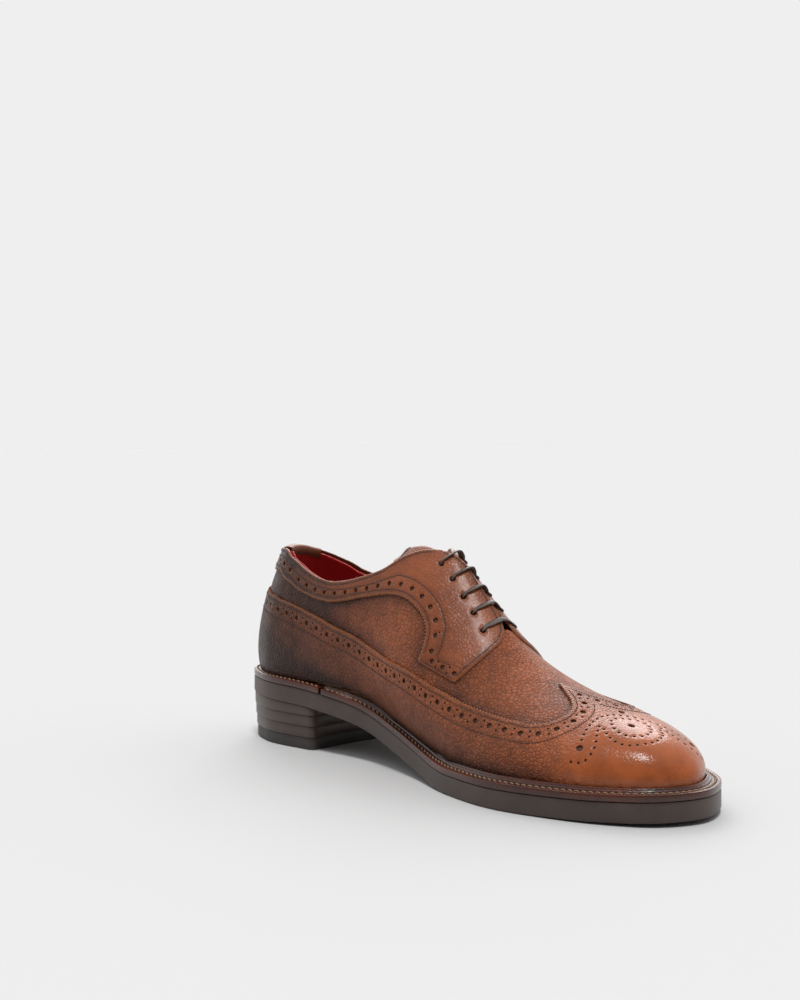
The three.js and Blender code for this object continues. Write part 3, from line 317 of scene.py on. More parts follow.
def world(p):
    return np.stack([p[:, 0], LENGTH / 2 - p[:, 1], p[:, 2]], 1)


def stretch(q, d=OUTSIDE, h=.4):
    """How far the surface moves for each millimetre of pattern, across and along."""
    across, along = np.array([h, 0]), np.array([0, h])
    return tuple((skin(q + way, d) - skin(q - way, d)) / (2 * h) for way in (across, along))


def to_pattern(gx, gl, v):
    a, b, c = (gx * gx).sum(1), (gx * gl).sum(1), (gl * gl).sum(1)
    r, s = (gx * v).sum(1), (gl * v).sum(1)
    det = a * c - b * b
    return np.stack([(c * r - b * s) / det, (a * s - b * r) / det], 1)


def beside(line, gap, d=OUTSIDE):
    """A pattern line moved to its left by gap, measured on the leather."""
    gx, gl = stretch(line, d)
    t = np.gradient(line, axis=0)
    t3 = gx * t[:, :1] + gl * t[:, 1:]
    s = np.cross(np.cross(gx, gl), t3)
    s /= np.linalg.norm(s, axis=1)[:, None]
    return line + to_pattern(gx, gl, s * np.broadcast_to(gap, len(line))[:, None])


def walk(line, pitch, start=0.0, end=0.0, d=OUTSIDE, whole=1):
    """Evenly spaced pattern points along a line, spaced as measured on the leather."""
    u = length_along(skin(line, d))
    n = max(1, int(round((u[-1] - start - end) / pitch / whole))) * whole
    return at_lengths(line, u, np.linspace(start, u[-1] - end, n + 1))


def round_hole(q, r, n, d=OUTSIDE):
    a = 2 * math.pi * np.arange(n) / n
    gx, gl = stretch(np.array([q]), d)
    e1 = gx / np.linalg.norm(gx)
    e2 = gl - (gl * e1).sum() * e1
    e2 /= np.linalg.norm(e2)
    ring = r * (np.cos(a)[:, None] * e1 + np.sin(a)[:, None] * e2)
    return np.array(q) + to_pattern(np.repeat(gx, n, 0), np.repeat(gl, n, 0), ring)


def at_height(t, z):
    """Pattern point at height z above place t of the feather edge."""
    t = np.array([t])
    return plane(t, v_of(HEIGHT, t, np.array([float(z)]), False))[0]


def wall(side, l, z):
    return at_height(t_side(side, l), z)


def top(side, l, w):
    return np.array([ridge_x(np.clip(l, LH, LA)) + side * w, l])


def t_heel(deg):
    return np.interp(math.radians(deg), *TURNS["heel"])


def heel(deg, z):
    return at_height(t_heel(deg), z)


def edge(side, l):
    return plane(t_side(side, l), 0)[0]


# ---------------------------------------------------------------- meshes


def mesh_object(name, verts, faces, attributes=None, sharp=40):
    """Millimetre points (x, l, z) to a smooth Blender mesh with closed, outward faces."""
    mesh = bpy.data.meshes.new(name)
    mesh.from_pydata((world(np.asarray(verts, float)) * MM).tolist(), [], faces)
    mesh.update()
    for key, values in (attributes or {}).items():
        layer = mesh.attributes.new(key, "FLOAT", "POINT")
        layer.data.foreach_set("value", np.asarray(values, np.float32))
    bm = bmesh.new()
    bm.from_mesh(mesh)
    bmesh.ops.recalc_face_normals(bm, faces=bm.faces)
    bm.to_mesh(mesh)
    bm.free()
    mesh.shade_smooth()
    mesh.set_sharp_from_angle(angle=math.radians(sharp))
    obj = bpy.data.objects.new(name, mesh)
    bpy.context.scene.collection.objects.link(obj)
    return obj


def bridge(a, b):
    """Quads between two closed rows of indices."""
    n = len(a)
    return [(a[i], a[(i + 1) % n], b[(i + 1) % n], b[i]) for i in range(n)]


def finish_piece(obj, material, slot, nodes=(), body="shoe"):
    obj.data.materials.append(material)
    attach(obj, body)
    if nodes:
        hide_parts(*nodes)
    return obj


def inside(p, poly):
    r = np.zeros(len(p), bool)
    a, b = poly, np.roll(poly, 1, 0)
    for k in range(0, len(p), 2000):
        x, y = p[k:k + 2000, 0:1], p[k:k + 2000, 1:2]
        with np.errstate(divide="ignore", invalid="ignore"):
            cut = (b[:, 0] - a[:, 0]) * (y - a[:, 1]) / (b[:, 1] - a[:, 1]) + a[:, 0]
        r[k:k + 2000] = (((a[:, 1] > y) != (b[:, 1] > y)) & (x < cut)).sum(1) % 2 == 1
    return r


def near(p, cloud):
    """Distance from each point to the nearest of a cloud of points."""
    tree = KDTree(len(cloud))
    for i, c in enumerate(cloud):
        tree.insert((c[0], c[1], 0), i)
    tree.balance()
    return np.array([tree.find((a[0], a[1], 0))[2] for a in p])


def dense(line, step=.3, closed=False):
    c = np.concatenate([line, line[:1]]) if closed else line
    u = length_along(c)
    return at_lengths(c, u, np.linspace(0, u[-1], max(2, int(u[-1] / step) + 1)))


def lattice(lo, hi, step):
    j = np.arange(math.floor(lo[1] / (step * .866)), math.ceil(hi[1] / (step * .866)) + 1)
    i = np.arange(math.floor(lo[0] / step) - 1, math.ceil(hi[0] / step) + 2)
    x = i[None, :] * step + (j % 2)[:, None] * step / 2
    y = np.repeat(j[:, None] * step * .866, len(i), 1)
    return np.stack([x.ravel(), y.ravel()], 1)


def triangulate(points, loops):
    """Triangles inside the first loop of indices, with every loop's sides kept."""
    sides = [(l[i], l[(i + 1) % len(l)]) for l in loops for i in range(len(l))]
    k = np.arange(len(points))
    jig = points + 1e-6 * np.stack([np.sin(k * 12.9), np.cos(k * 7.7)], 1)    # no four points on one circle
    v, _, f, ids, _, _ = geometry.delaunay_2d_cdt([Vector(p) for p in jig.tolist()], sides, [], 1, 1e-7)
    back = [i[0] if i else -1 for i in ids]
    tris = np.array([[back[k] for k in t] for t in f if len(t) == 3])
    tris = tris[(tris >= 0).all(1)]
    a, b, c = points[tris[:, 0]], points[tris[:, 1]], points[tris[:, 2]]
    turn_way = (b[:, 0] - a[:, 0]) * (c[:, 1] - a[:, 1]) - (b[:, 1] - a[:, 1]) * (c[:, 0] - a[:, 0])
    tris[turn_way < 0] = tris[turn_way < 0][:, ::-1]
    return tris


TOOTH, TOOTH_DEPTH = 1.8, .55
EDGE_KINDS = {  # kind: spacing, ((inset, drop) rows), drop at the edge itself
    "gimp": (TOOTH / 4, ((.95, 0), (1.8, 0)), .22),
    "plain": (1.1, ((.5, 0), (1.2, 0)), .25),
    "rim": (1.0, ((.42, .14), (1.05, 0), (1.7, 0)), .62),
    "hidden": (2.0, (), 0),
}


def outline(parts):
    """Joined pattern lines to a closed loop. Each part is (line, kind)."""
    pts, kinds = [], []
    for line, kind in parts:
        w = walk(line, EDGE_KINDS[kind][0], whole=4 if kind == "gimp" else 1)
        if kind == "gimp":
            w = beside(w, np.array([0, 1, 0, -1])[np.arange(len(w)) % 4] * TOOTH_DEPTH)
        pts.append(w[:-1])
        kinds += [kind] * (len(w) - 1)
    return np.concatenate(pts), kinds


FINE_BAND = 12.0       # this far from edges and holes the mesh of a leather piece is fine
NEAR_HOLE = .55        # room that rows and filling points leave round a hole
CROWDED = .42          # row points closer than this become one
LIP, LIP_DROP = .2, .12     # a hole's rounded lip: how much wider than the hole, and how deep


def edge_rows(parts, rim, cloud, way):
    """Rows beside the edges of a piece, as (points, drop below the top, bareness)."""
    for line, kind in parts:
        for gap, fall in EDGE_KINDS[kind][1]:
            r = beside(walk(line, .9 if gap < 1 else 1.3), way * gap)
            r = r[inside(r, rim) & (near(r, cloud) > gap * .72)]
            yield r, fall, .75 if kind == "rim" and gap < .8 else 0


def clear_of(points, holes):
    """Which points keep away from every hole."""
    free = np.full(len(points), True)
    for q, radius, _ in holes:
        free &= np.hypot(points[:, 0] - q[0], points[:, 1] - q[1]) > radius + NEAR_HOLE
    return free


def groove_rows(grooves, rim, cloud, hole_cloud, holes):
    """Rows along stitch grooves and on both their banks."""
    for line, depth in grooves:
        for gap, fall in ((0, depth), (.55, depth * .35), (-.55, depth * .35), (1.1, 0), (-1.1, 0)):
            r = beside(walk(line, 1.0), gap) if gap else walk(line, 1.0)
            ok = inside(r, rim) & (near(r, cloud) > .35)
            if holes:
                ok &= (near(r, hole_cloud) > .45) & clear_of(r, holes)
            yield r[ok], fall, 0


def thinned(rows):
    """Rows of points joined into one, without points that crowd each other."""
    points = np.concatenate([row[0] for row in rows])
    drop = np.concatenate([np.full(len(row[0]), row[1], float) for row in rows])
    cut = np.concatenate([np.full(len(row[0]), row[2], float) for row in rows])
    keep, seen = [], set()
    for i, p in enumerate(points):
        key = (round(p[0] / CROWDED), round(p[1] / CROWDED))
        if key not in seen:
            seen.add(key)
            keep.append(i)
    return points[keep], drop[keep], cut[keep]


def filling(rim, cloud, hole_cloud, holes, taken, fine, coarse):
    """Lattice points inside a piece: fine ones near edges and holes, then coarse ones elsewhere."""
    found = []
    for step, room, start, stop in ((fine, .62 * fine, 0, FINE_BAND), (coarse, .6 * coarse, FINE_BAND, 1e9)):
        g = lattice(rim.min(0), rim.max(0), step)
        g = g[inside(g, rim)]
        zone = near(g, cloud)
        if holes:
            zone = np.minimum(zone, near(g, hole_cloud) + (FINE_BAND - 3.5))
        g = g[(zone >= start) & (zone < stop)]
        g = g[(near(g, taken) > room) & clear_of(g, holes)]
        found.append(g)
        taken = np.concatenate([taken, g])
    return found


def without_rings(tris, rings, count):
    """Triangles without those whose corners all lie on one ring."""
    owner = np.full(count, -1)
    for k, ring in enumerate(rings):
        owner[ring] = k
    o = owner[tris]
    return tris[~((o[:, 0] >= 0) & (o[:, 0] == o[:, 1]) & (o[:, 0] == o[:, 2]))]


class Shell:
    """Points of a leather piece, each with its place in the pattern and its marks: cut is how bare the
    leather is, pit how deep in a hole, far how far from the edge."""

    def __init__(self):
        self.verts, self.pattern, self.faces = [], [], []
        self.marks = {"cut": [], "pit": [], "far": []}

    def add(self, points, d, cut, pit, far=5.0):
        start = sum(len(v) for v in self.verts)
        self.verts.append(skin(points, d))
        self.pattern.append(points)
        for key, value in (("cut", cut), ("pit", pit), ("far", far)):
            self.marks[key].append(np.broadcast_to(value, len(points)))
        return list(range(start, start + len(points)))

    def punch(self, hole, ring, low, high, up):
        """A hole from its lip down. Gives the lower ring of a hole right through."""
        centre, r, depth = hole
        n = len(ring)
        lip = self.add(round_hole(centre, r, n), high - up * LIP_DROP, 0, .35 if r > 1 else 1)
        if depth is None:
            last = self.add(round_hole(centre, r, n), low, 0, 1)
        else:
            last = self.add(round_hole(centre, r * .94, n), high - up * depth, 0, 1)
        self.faces += bridge(ring, lip) + bridge(lip, last)
        if depth is None:
            return last
        mid = self.add(np.array([centre]), high - up * depth * 1.04, 0, .8)[0]
        self.faces += [(last[i], last[(i + 1) % n], mid) for i in range(n)]
        return None


def leather(name, nodes, parts, layer, material, slot, holes=(), grooves=(), fine=1.25, coarse=2.6,
            marks=None, body="shoe", heights=None, bend=None):
    """A leather piece: pattern outline, thickness between two distances from the last, punched holes,
    stitch grooves. holes are (point, radius, depth or None for a hole right through)."""
    low, high = layer
    up = 1 if high > low else -1
    rise = heights or (lambda q: 0)
    rim, kinds = outline(parts)
    n_rim = len(rim)
    cloud = dense(rim, .3, closed=True)
    ring_pts = [round_hole(q, r + LIP, 12 if r > 1 else 8) for q, r, _ in holes]
    hole_cloud = np.concatenate(ring_pts + [np.array([h[0] for h in holes])]) if holes else None
    way = 1 if area2(rim) > 0 else -1
    rows = list(edge_rows(parts, rim, cloud, way)) + list(groove_rows(grooves, rim, cloud, hole_cloud, holes))
    row_pts, row_drop, row_cut = thinned(rows)
    taken = np.concatenate([cloud] + ([hole_cloud] if holes else []) + [row_pts])
    fill = filling(rim, cloud, hole_cloud, holes, taken, fine, coarse)
    q = np.concatenate([rim, row_pts] + fill + ring_pts)
    flat = np.zeros(len(q) - n_rim - len(row_pts))
    drop = np.concatenate([[EDGE_KINDS[k][2] for k in kinds], row_drop, flat])
    cut = np.concatenate([[1.0 if k != "hidden" else 0 for k in kinds], row_cut, flat])
    first = len(q) - sum(len(r) for r in ring_pts)
    rings = []
    for r in ring_pts:
        rings.append(list(range(first, first + len(r))))
        first += len(r)
    loop = list(range(n_rim))
    top_d = high - up * drop + rise(q)
    shell = Shell()
    shell.add(q, top_d, cut, 0, near(q, cloud))
    shell.faces += without_rings(triangulate(q, [loop] + rings), rings, len(q)).tolist()
    through = []
    for hole, ring in zip(holes, rings):
        lower = shell.punch(hole, ring, low, high, up)
        if lower:
            through.append((lower, round_hole(hole[0], hole[1], len(ring))))
    # side wall and underside
    low_d = low + rise(rim) + np.zeros(n_rim)
    under_rim = shell.add(rim, low_d, *((.9, 0, 0) if up > 0 else (0, 0)))
    middle = shell.add(rim, (top_d[:n_rim] + low_d) / 2, 1.0, 0, 0)
    shell.faces += bridge(loop, middle) + bridge(middle, under_rim)
    g = lattice(rim.min(0), rim.max(0), 6.0)
    g = g[inside(g, rim)]
    g = g[near(g, cloud) > 2.5]
    if holes:
        g = g[near(g, hole_cloud) > 3]
    index = under_rim + (shell.add(g, low + rise(g), 0, 0, 8) if len(g) else [])
    under, low_rings = [rim, g], []
    for ids, points in through:
        low_rings.append(list(range(len(index), len(index) + len(ids))))
        index += ids
        under.append(points)
    tris = triangulate(np.concatenate(under), [loop] + low_rings)
    shell.faces += [tuple(index[k] for k in t[::-1]) for t in without_rings(tris, low_rings, len(index))]
    v, pattern = np.concatenate(shell.verts), np.concatenate(shell.pattern)
    if bend:
        v[:, 2] -= bend(pattern)
    attributes = {k: np.concatenate(a) for k, a in shell.marks.items()}
    if marks:
        attributes.update(marks(pattern, v, attributes))
    return finish_piece(mesh_object(name, v, shell.faces, attributes), material, slot, nodes, body)


THREAD_SIDES, THREAD_FLAT = 6, .8


def strands(name, paths, normals, radii, material, body="shoe"):
    """Many short threads at once. paths is (stitch, station, xyz), as (x, l, z)."""
    sides = THREAD_SIDES
    k, m, _ = paths.shape
    t = np.gradient(paths, axis=1)
    t /= np.linalg.norm(t, axis=2)[:, :, None] + 1e-12
    u = normals[:, None, :] - (normals[:, None, :] * t).sum(2)[:, :, None] * t
    u /= np.linalg.norm(u, axis=2)[:, :, None]
    w = np.cross(t, u)
    a = 2 * math.pi * np.arange(sides) / sides
    ring = (np.cos(a)[None, None, :, None] * u[:, :, None, :] * THREAD_FLAT
            + np.sin(a)[None, None, :, None] * w[:, :, None, :])
    v = paths[:, :, None, :] + ring * np.broadcast_to(radii, (k, m))[:, :, None, None]
    ends = paths[:, [0, -1], :]
    verts = np.concatenate([v.reshape(k, m * sides, 3), ends], 1)
    per = m * sides + 2
    one = []
    for i in range(m - 1):
        for j in range(sides):
            b = (j + 1) % sides
            one.append((i * sides + j, i * sides + b, (i + 1) * sides + b, (i + 1) * sides + j))
    tips = []
    for j in range(sides):
        b = (j + 1) % sides
        tips.append((m * sides, b, j))
        tips.append((m * sides + 1, (m - 1) * sides + j, (m - 1) * sides + b))
    faces = []
    for s in range(k):
        faces += [tuple(x + s * per for x in f) for f in one + tips]
    obj = mesh_object(name, verts.reshape(-1, 3), faces, sharp=80)
    return finish_piece(obj, material, "thread", (), body)


STITCH_GAP, THREAD_RADIUS = .3, .26


def stitching(name, rows, pitch=1.45, body="shoe", bend=None):
    """Stitches along pattern lines. rows are (line, distance from the last)."""
    paths, normals = [], []
    s = np.array([-1, -.72, 0, .72, 1]) * (pitch - STITCH_GAP) / 2
    h = np.array([-.3, .02, .14, .02, -.3])
    for line, d in rows:
        u = length_along(skin(line, d))
        n = max(1, int(round((u[-1] - .6) / pitch)))
        c = (np.arange(n) + .5) * (u[-1] / n)
        q = at_lengths(line, u, (c[:, None] + s[None, :]).ravel())
        p = skin(q, d + np.tile(h, n))
        if bend:
            p[:, 2] -= bend(q)
        p = p.reshape(n, 5, 3)
        mid = at_lengths(line, u, c)
        paths.append(p)
        normals.append(skin(mid, d + 1) - skin(mid, d))
    radii = THREAD_RADIUS * np.array([.45, .9, 1, .9, .45])
    return strands(name, np.concatenate(paths), np.concatenate(normals), radii, DARK_THREAD, body)


def flat_fill(ring, step, level, verts, faces, index):
    """Fills a closed plan outline that is already in the mesh, at level(l)."""
    g = lattice(ring.min(0), ring.max(0), step)
    g = g[inside(g, ring)]
    g = g[near(g, dense(ring, 1, closed=True)) > step * .45]
    start = sum(len(v) for v in verts)
    verts.append(np.concatenate([g, level(g)[:, None]], 1))
    ids = list(index) + list(range(start, start + len(g)))
    tris = triangulate(np.concatenate([ring, g]), [list(range(len(ring)))])
    faces += [tuple(ids[k] for k in t) for t in tris]


def plate(name, nodes, plan, profile, material, slot, low=None, high=None, step=7.0, marks=None):
    """A solid over a closed plan: profile rows are (inset, height, 'low' or 'high' surface)."""
    low = low or (lambda p: bottom(p[:, 1]))
    high = high or low
    verts, faces, rings = [], [], []
    n = len(plan)
    for e, z, which in profile:
        p = inset(plan, e)
        level = low if which == "low" else high
        s = sum(len(v) for v in verts)
        verts.append(np.concatenate([p, (level(p) + z)[:, None]], 1))
        rings.append((p, range(s, s + n)))
    for (_, a), (_, b) in zip(rings, rings[1:]):
        faces += bridge(a, b)
    flat_fill(rings[0][0], step, lambda p: low(p) + profile[0][1], verts, faces, rings[0][1])
    flat_fill(rings[-1][0], step, lambda p: high(p) + profile[-1][1], verts, faces, rings[-1][1])
    v = np.concatenate(verts)
    obj = mesh_object(name, v, faces, marks(v) if marks else None, sharp=32)
    return finish_piece(obj, material, slot, nodes)


# ---------------------------------------------------------------- materials


class Look:
    """A small helper for building a node material."""

    def __init__(self, name):
        self.material = bpy.data.materials.new(name)
        self.material.use_nodes = True
        self.tree = self.material.node_tree
        self.shader = self.tree.nodes["Principled BSDF"]
        self.where = self.tree.nodes.new("ShaderNodeTexCoord").outputs["Object"]

    def node(self, kind, inputs=None, **settings):
        n = self.tree.nodes.new("ShaderNode" + kind)
        for k, v in settings.items():
            setattr(n, k, v)
        for k, v in (inputs or {}).items():
            if isinstance(v, bpy.types.NodeSocket):
                self.tree.links.new(v, n.inputs[k])
            else:
                n.inputs[k].default_value = v
        return n

    def math(self, op, a, b=0.0, clamp=False):
        return self.node("Math", {0: a, 1: b}, operation=op, use_clamp=clamp).outputs[0]

    def value(self, attribute):
        return self.node("Attribute", attribute_name=attribute).outputs["Fac"]

    def noise(self, scale, detail=2.0, rough=.5, where=None):
        return self.node("TexNoise", {"Vector": where or self.where, "Scale": scale, "Detail": detail,
                                      "Roughness": rough}).outputs["Fac"]

    def cells(self, scale, feature="F1", where=None, output="Distance"):
        n = self.node("TexVoronoi", {"Vector": where or self.where, "Scale": scale}, feature=feature)
        return n.outputs[output]

    def mix(self, fac, a, b):
        n = self.node("Mix", data_type="RGBA")
        for k, v in ((0, fac), (6, a), (7, b)):
            if isinstance(v, bpy.types.NodeSocket):
                self.tree.links.new(v, n.inputs[k])
            else:
                n.inputs[k].default_value = v if k == 0 else (*v, 1)
        return n.outputs[2]

    def ramp(self, x, lo, hi, to_lo=0.0, to_hi=1.0):
        return self.node("MapRange", {0: x, 1: lo, 2: hi, 3: to_lo, 4: to_hi}, clamp=True).outputs[0]

    def bent(self, scale, amount):
        """Object coordinates pushed about by noise, so that cells are not regular."""
        n = self.node("TexNoise", {"Vector": self.where, "Scale": scale, "Detail": 1.0}).outputs["Color"]
        off = self.node("VectorMath", {0: n, 1: (.5, .5, .5)}, operation="SUBTRACT").outputs[0]
        off = self.node("VectorMath", {0: off, "Scale": amount}, operation="SCALE").outputs[0]
        return self.node("VectorMath", {0: self.where, 1: off}, operation="ADD").outputs[0]

    def set(self, **sockets):
        for k, v in sockets.items():
            s = self.shader.inputs[k.replace("_", " ")]
            if isinstance(v, bpy.types.NodeSocket):
                self.tree.links.new(v, s)
            else:
                s.default_value = v
        return self

    def bump(self, height, distance, strength=1.0, under=None):
        n = self.node("Bump", {"Height": height, "Distance": distance, "Strength": strength})
        if under is not None:
            self.tree.links.new(under, n.inputs["Normal"])
        return n.outputs[0]


CHESTNUT, DEEP, CUT = (.46, .120, .038), (.030, .0075, .0035), (.40, .15, .065)
# HOLE_LIP is the bare cut edge of a hole; HOLE_SHADE is painted shade at the bottom of a hole
HOLE_LIP, HOLE_SHADE = (.30, .115, .048), (.035, .012, .007)


def pebbled_leather(name, grain=1.0, base=CHESTNUT):
    """Burnished calf with a pebbled grain. 'dark' is burnishing and painted shade; 'sleek' smooths the grain
    away.
    """
    m = Look(name)
    dark, sleek, cut, pit = m.value("dark"), m.value("sleek"), m.value("cut"), m.value("pit")
    bent = m.bent(260, .0016)
    pebble = m.ramp(m.cells(470, "DISTANCE_TO_EDGE", bent), .0, .26)
    small = m.ramp(m.cells(1250, "DISTANCE_TO_EDGE", bent), .0, .30)
    mottled = m.noise(38, 3)
    soft = m.noise(150, 3, .6)
    fade = m.math("MULTIPLY", m.math("SUBTRACT", 1.0, sleek), grain)
    tone = m.mix(m.ramp(mottled, .3, .72), base, tuple(c * .62 for c in base))
    tone = m.mix(m.ramp(soft, .42, .8, 0, .35), tone, tuple(c * .45 for c in base))
    crease = m.ramp(m.cells(470, "DISTANCE_TO_EDGE", bent), .0, .10, .85, 0)
    crease = m.math("MULTIPLY", crease, fade)
    tone = m.mix(crease, tone, tuple(c * .2 for c in base))
    shade_and_burnish = m.math("ADD", dark, m.math("MULTIPLY", m.math("SUBTRACT", soft, .5), .35), clamp=True)
    shade_and_burnish = m.math("MULTIPLY", shade_and_burnish, m.ramp(dark, 0, .06))
    # painted shade and burnishing: the 'dark' attribute mixes the leather towards DEEP
    tone = m.mix(shade_and_burnish, tone, DEEP)
    tone = m.mix(m.ramp(pit, 0, .4, 0, .8), tone, HOLE_LIP)
    # painted shade deep in the punched holes
    tone = m.mix(m.ramp(pit, .45, 1, 0, .9), tone, HOLE_SHADE)
    tone = m.mix(m.math("MULTIPLY", cut, .6), tone, CUT)
    rough = m.ramp(sleek, 0, 1, .42, .15)
    rough = m.math("ADD", rough, m.ramp(soft, .3, .7, -.05, .07))
    height = m.math("ADD", m.math("MULTIPLY", pebble, 1.0), m.math("MULTIPLY", small, .35))
    height = m.math("MULTIPLY", height, m.math("ADD", m.math("MULTIPLY", fade, .93), .07))
    fine_grain = m.bump(m.noise(2600, 2), .00003, .5)
    m.set(Base_Color=tone, Roughness=rough, Normal=m.bump(height, .00034, 1.0, fine_grain),
          Coat_Weight=.1, Coat_Roughness=.16, Specular_IOR_Level=.25)
    return m.material


def plain_leather(name, base, deep, rough=.5, grain_scale=1500, bump=.00006, coat=0.0):
    m = Look(name)
    cells = m.ramp(m.cells(grain_scale, "DISTANCE_TO_EDGE", m.bent(400, .001)), 0, .3)
    soft = m.noise(60, 3)
    tone = m.mix(m.ramp(soft, .3, .75), base, deep)
    # the 'dark' attribute paints shade: in the welt's grooves, low inside the lining, near edges
    tone = m.mix(m.math("MULTIPLY", m.value("dark"), 1.0), tone, tuple(c * .3 for c in deep))
    tone = m.mix(m.math("MULTIPLY", m.value("cut"), .75), tone, CUT)
    m.set(Base_Color=tone, Roughness=m.ramp(soft, .3, .7, rough - .06, rough + .06),
          Normal=m.bump(cells, bump, .7), Coat_Weight=coat, Coat_Roughness=.2)
    return m.material


def thread_look(name, base):
    m = Look(name)
    wave = m.node("TexWave", {"Vector": m.where, "Scale": 900.0, "Distortion": 3.0, "Detail": 1.0})
    twist = wave.outputs["Fac"]
    m.set(Base_Color=m.mix(twist, base, tuple(c * .55 for c in base)), Roughness=.55,
          Normal=m.bump(twist, .00005, .6))
    return m.material


def rubber_look(name, base, worn, rough):
    m = Look(name)
    soft = m.noise(45, 4, .6)
    fine = m.noise(1400, 3)
    tone = m.mix(m.ramp(soft, .35, .7), base, worn)
    tone = m.mix(m.ramp(fine, .5, .8, 0, .3), tone, tuple(c * .6 for c in base))
    m.set(Base_Color=tone, Roughness=m.ramp(soft, .3, .7, rough - .07, rough + .08),
          Normal=m.bump(m.math("ADD", fine, m.math("MULTIPLY", m.noise(260, 2), .8)), .00006, .6))
    return m.material


def cork_look():
    m = Look("cork")
    cells = m.cells(420, "F1", output="Color")
    tone = m.mix(m.node("SeparateColor", {0: cells}).outputs[0], (.42, .26, .13), (.16, .08, .04))
    m.set(Base_Color=tone, Roughness=.9, Normal=m.bump(m.cells(420), .0004, .8))
    return m.material


def metal_look(name, base, rough):
    m = Look(name)
    scratch = m.node("TexNoise", {"Vector": m.node("Mapping", {0: m.where, 3: (2500, 90, 2500)}).outputs[0],
                                  "Scale": 1.0, "Detail": 3.0}).outputs["Fac"]
    m.set(Base_Color=m.mix(scratch, base, tuple(c * .6 for c in base)), Metallic=1.0,
          Roughness=m.ramp(scratch, .3, .7, rough - .08, rough + .1), Normal=m.bump(scratch, .00002, .5))
    return m.material


def lace_look():
    m = Look("waxed_lace")
    u = m.value("lace_u")
    v = m.value("lace_v")
    a = m.math("SINE", m.math("ADD", m.math("MULTIPLY", u, 5.2), m.math("MULTIPLY", v, 6.2832)))
    b = m.math("SINE", m.math("SUBTRACT", m.math("MULTIPLY", u, 5.2), m.math("MULTIPLY", v, 6.2832)))
    weave = m.math("ADD", m.math("MULTIPLY", a, b), m.math("MULTIPLY", m.noise(1800, 2), .5))
    tone = m.mix(m.ramp(weave, -.6, 1.0), (.040, .028, .023), (.135, .10, .083))
    m.set(Base_Color=tone, Roughness=.42, Normal=m.bump(weave, .00010, .7),
          Coat_Weight=.15, Coat_Roughness=.3)
    return m.material


UPPER_LEATHER = pebbled_leather("pebbled_calf")
FACING_LEATHER = pebbled_leather("smooth_calf", grain=.45, base=(.36, .098, .036))
TONGUE_LEATHER = plain_leather("tongue_calf", (.30, .075, .022), (.16, .04, .012), .42)
LINING_LEATHER = plain_leather("red_lining", (.62, .020, .024), (.48, .014, .018), .5)
SOCK_LEATHER = plain_leather("red_sock", (.22, .010, .012), (.15, .006, .008), .5)
TAN_LEATHER = plain_leather("undyed_leather", (.50, .31, .16), (.40, .23, .11), .7)
WELT_LEATHER = plain_leather("welt_leather", (.13, .026, .009), (.045, .010, .005), .26, 1100, .00008, .3)
BOARD = plain_leather("leather_board", (.46, .32, .18), (.36, .24, .13), .8)
TAB_LEATHER = plain_leather("tab_calf", (.24, .065, .02), (.15, .04, .014), .4)
HEEL_BOARD = rubber_look("stained_heel_board", (.052, .032, .024), (.085, .055, .042), .36)
SOLE_RUBBER = rubber_look("sole_rubber", (.052, .033, .027), (.082, .056, .047), .42)
HEEL_RUBBER = rubber_look("heel_rubber", (.035, .029, .026), (.06, .05, .045), .55)
CORK = cork_look()
STEEL = metal_look("spring_steel", (.55, .56, .58), .35)
BRASS = metal_look("dull_brass", (.62, .43, .18), .4)
DARK_THREAD = thread_look("dark_thread", (.062, .036, .026))
TAN_THREAD = thread_look("tan_thread", (.42, .26, .15))
LACE = lace_look()

# ---------------------------------------------------------------- pattern lines
BACK = .35           # half the width of the back seam, in degrees round the heel
AFTER_CORNER = 2     # points of the topline that lie forward of the quarter and its lining


def topline(side, fall=0.0):
    if side > 0:
        back = [heel(BACK, 103.5 - fall), heel(35, 100.6 - fall), heel(60, 96.8 - fall)]
        rest = [(36, 92.4), (45, 89), (56, 86.4), (70, 84.9), (85, 85.3), (101, 90)]
    else:
        back = [heel(-BACK, 104 - fall), heel(-35, 103.2 - fall)]
        rest = [(34, 103), (49, 97.6), (58, 94.3), (68, 91.7), (78, 90.3), (86, 90.6), (97, 92.6)]
    top_front = [top(side, 117 + fall * .6, 30 + fall * .5), top(side, 126.5 + fall, 19 + fall * .4),
                 top(side, 135.5 + fall, 9.5), top(side, 143 + fall, 3.6)]
    return back + [wall(side, l, z - fall) for l, z in rest] + top_front


def band_low(side):
    if side > 0:
        back = [heel(BACK, 93), heel(35, 90), heel(60, 86.6)]
        rest = [(36, 82.6), (46, 79), (57, 76.3), (70, 74.8), (84, 75.2), (98, 77.8), (111, 81.6), (122, 85),
                (132, 86.6), (140, 85.2), (148, 81.4), (154, 76.4), (157.6, 71), (159.2, 65), (159.2, 57.5)]
    else:
        back = [heel(-BACK, 93), heel(-40, 92.4)]
        rest = [(34.5, 91.3), (46, 86.9), (55, 83.8), (63, 82.1), (71, 80.8), (80, 80.2), (93, 81.6),
                (108, 84.5), (120, 86.3), (130, 86.9), (138, 85.7), (146, 82.2), (152.5, 77.2), (156.2, 72.2),
                (158, 65.5), (158, 57.5)]
    return back + [wall(side, l, z) for l, z in rest]


def front_edge(side):
    return [wall(side, 181, 49), top(side, 184.1, 29), top(side, 186.2, 20), top(side, 187.4, 11),
            top(side, 187.1, 5.5), top(side, 184.4, 3.0 if side > 0 else 1.75)]


def ridge_edge(side):
    widths = (3.0, 2.0, 1.4, 1.3, 1.3, 1.7, 2.4) if side > 0 else (1.75, .3, 0, -.1, .1, 1, 2)
    lengths = (184.4, 179, 172, 162, 155, 150, 146)
    return [top(side, l, w) for l, w in zip(lengths, widths)] + [top(side, 143, 3.6)]


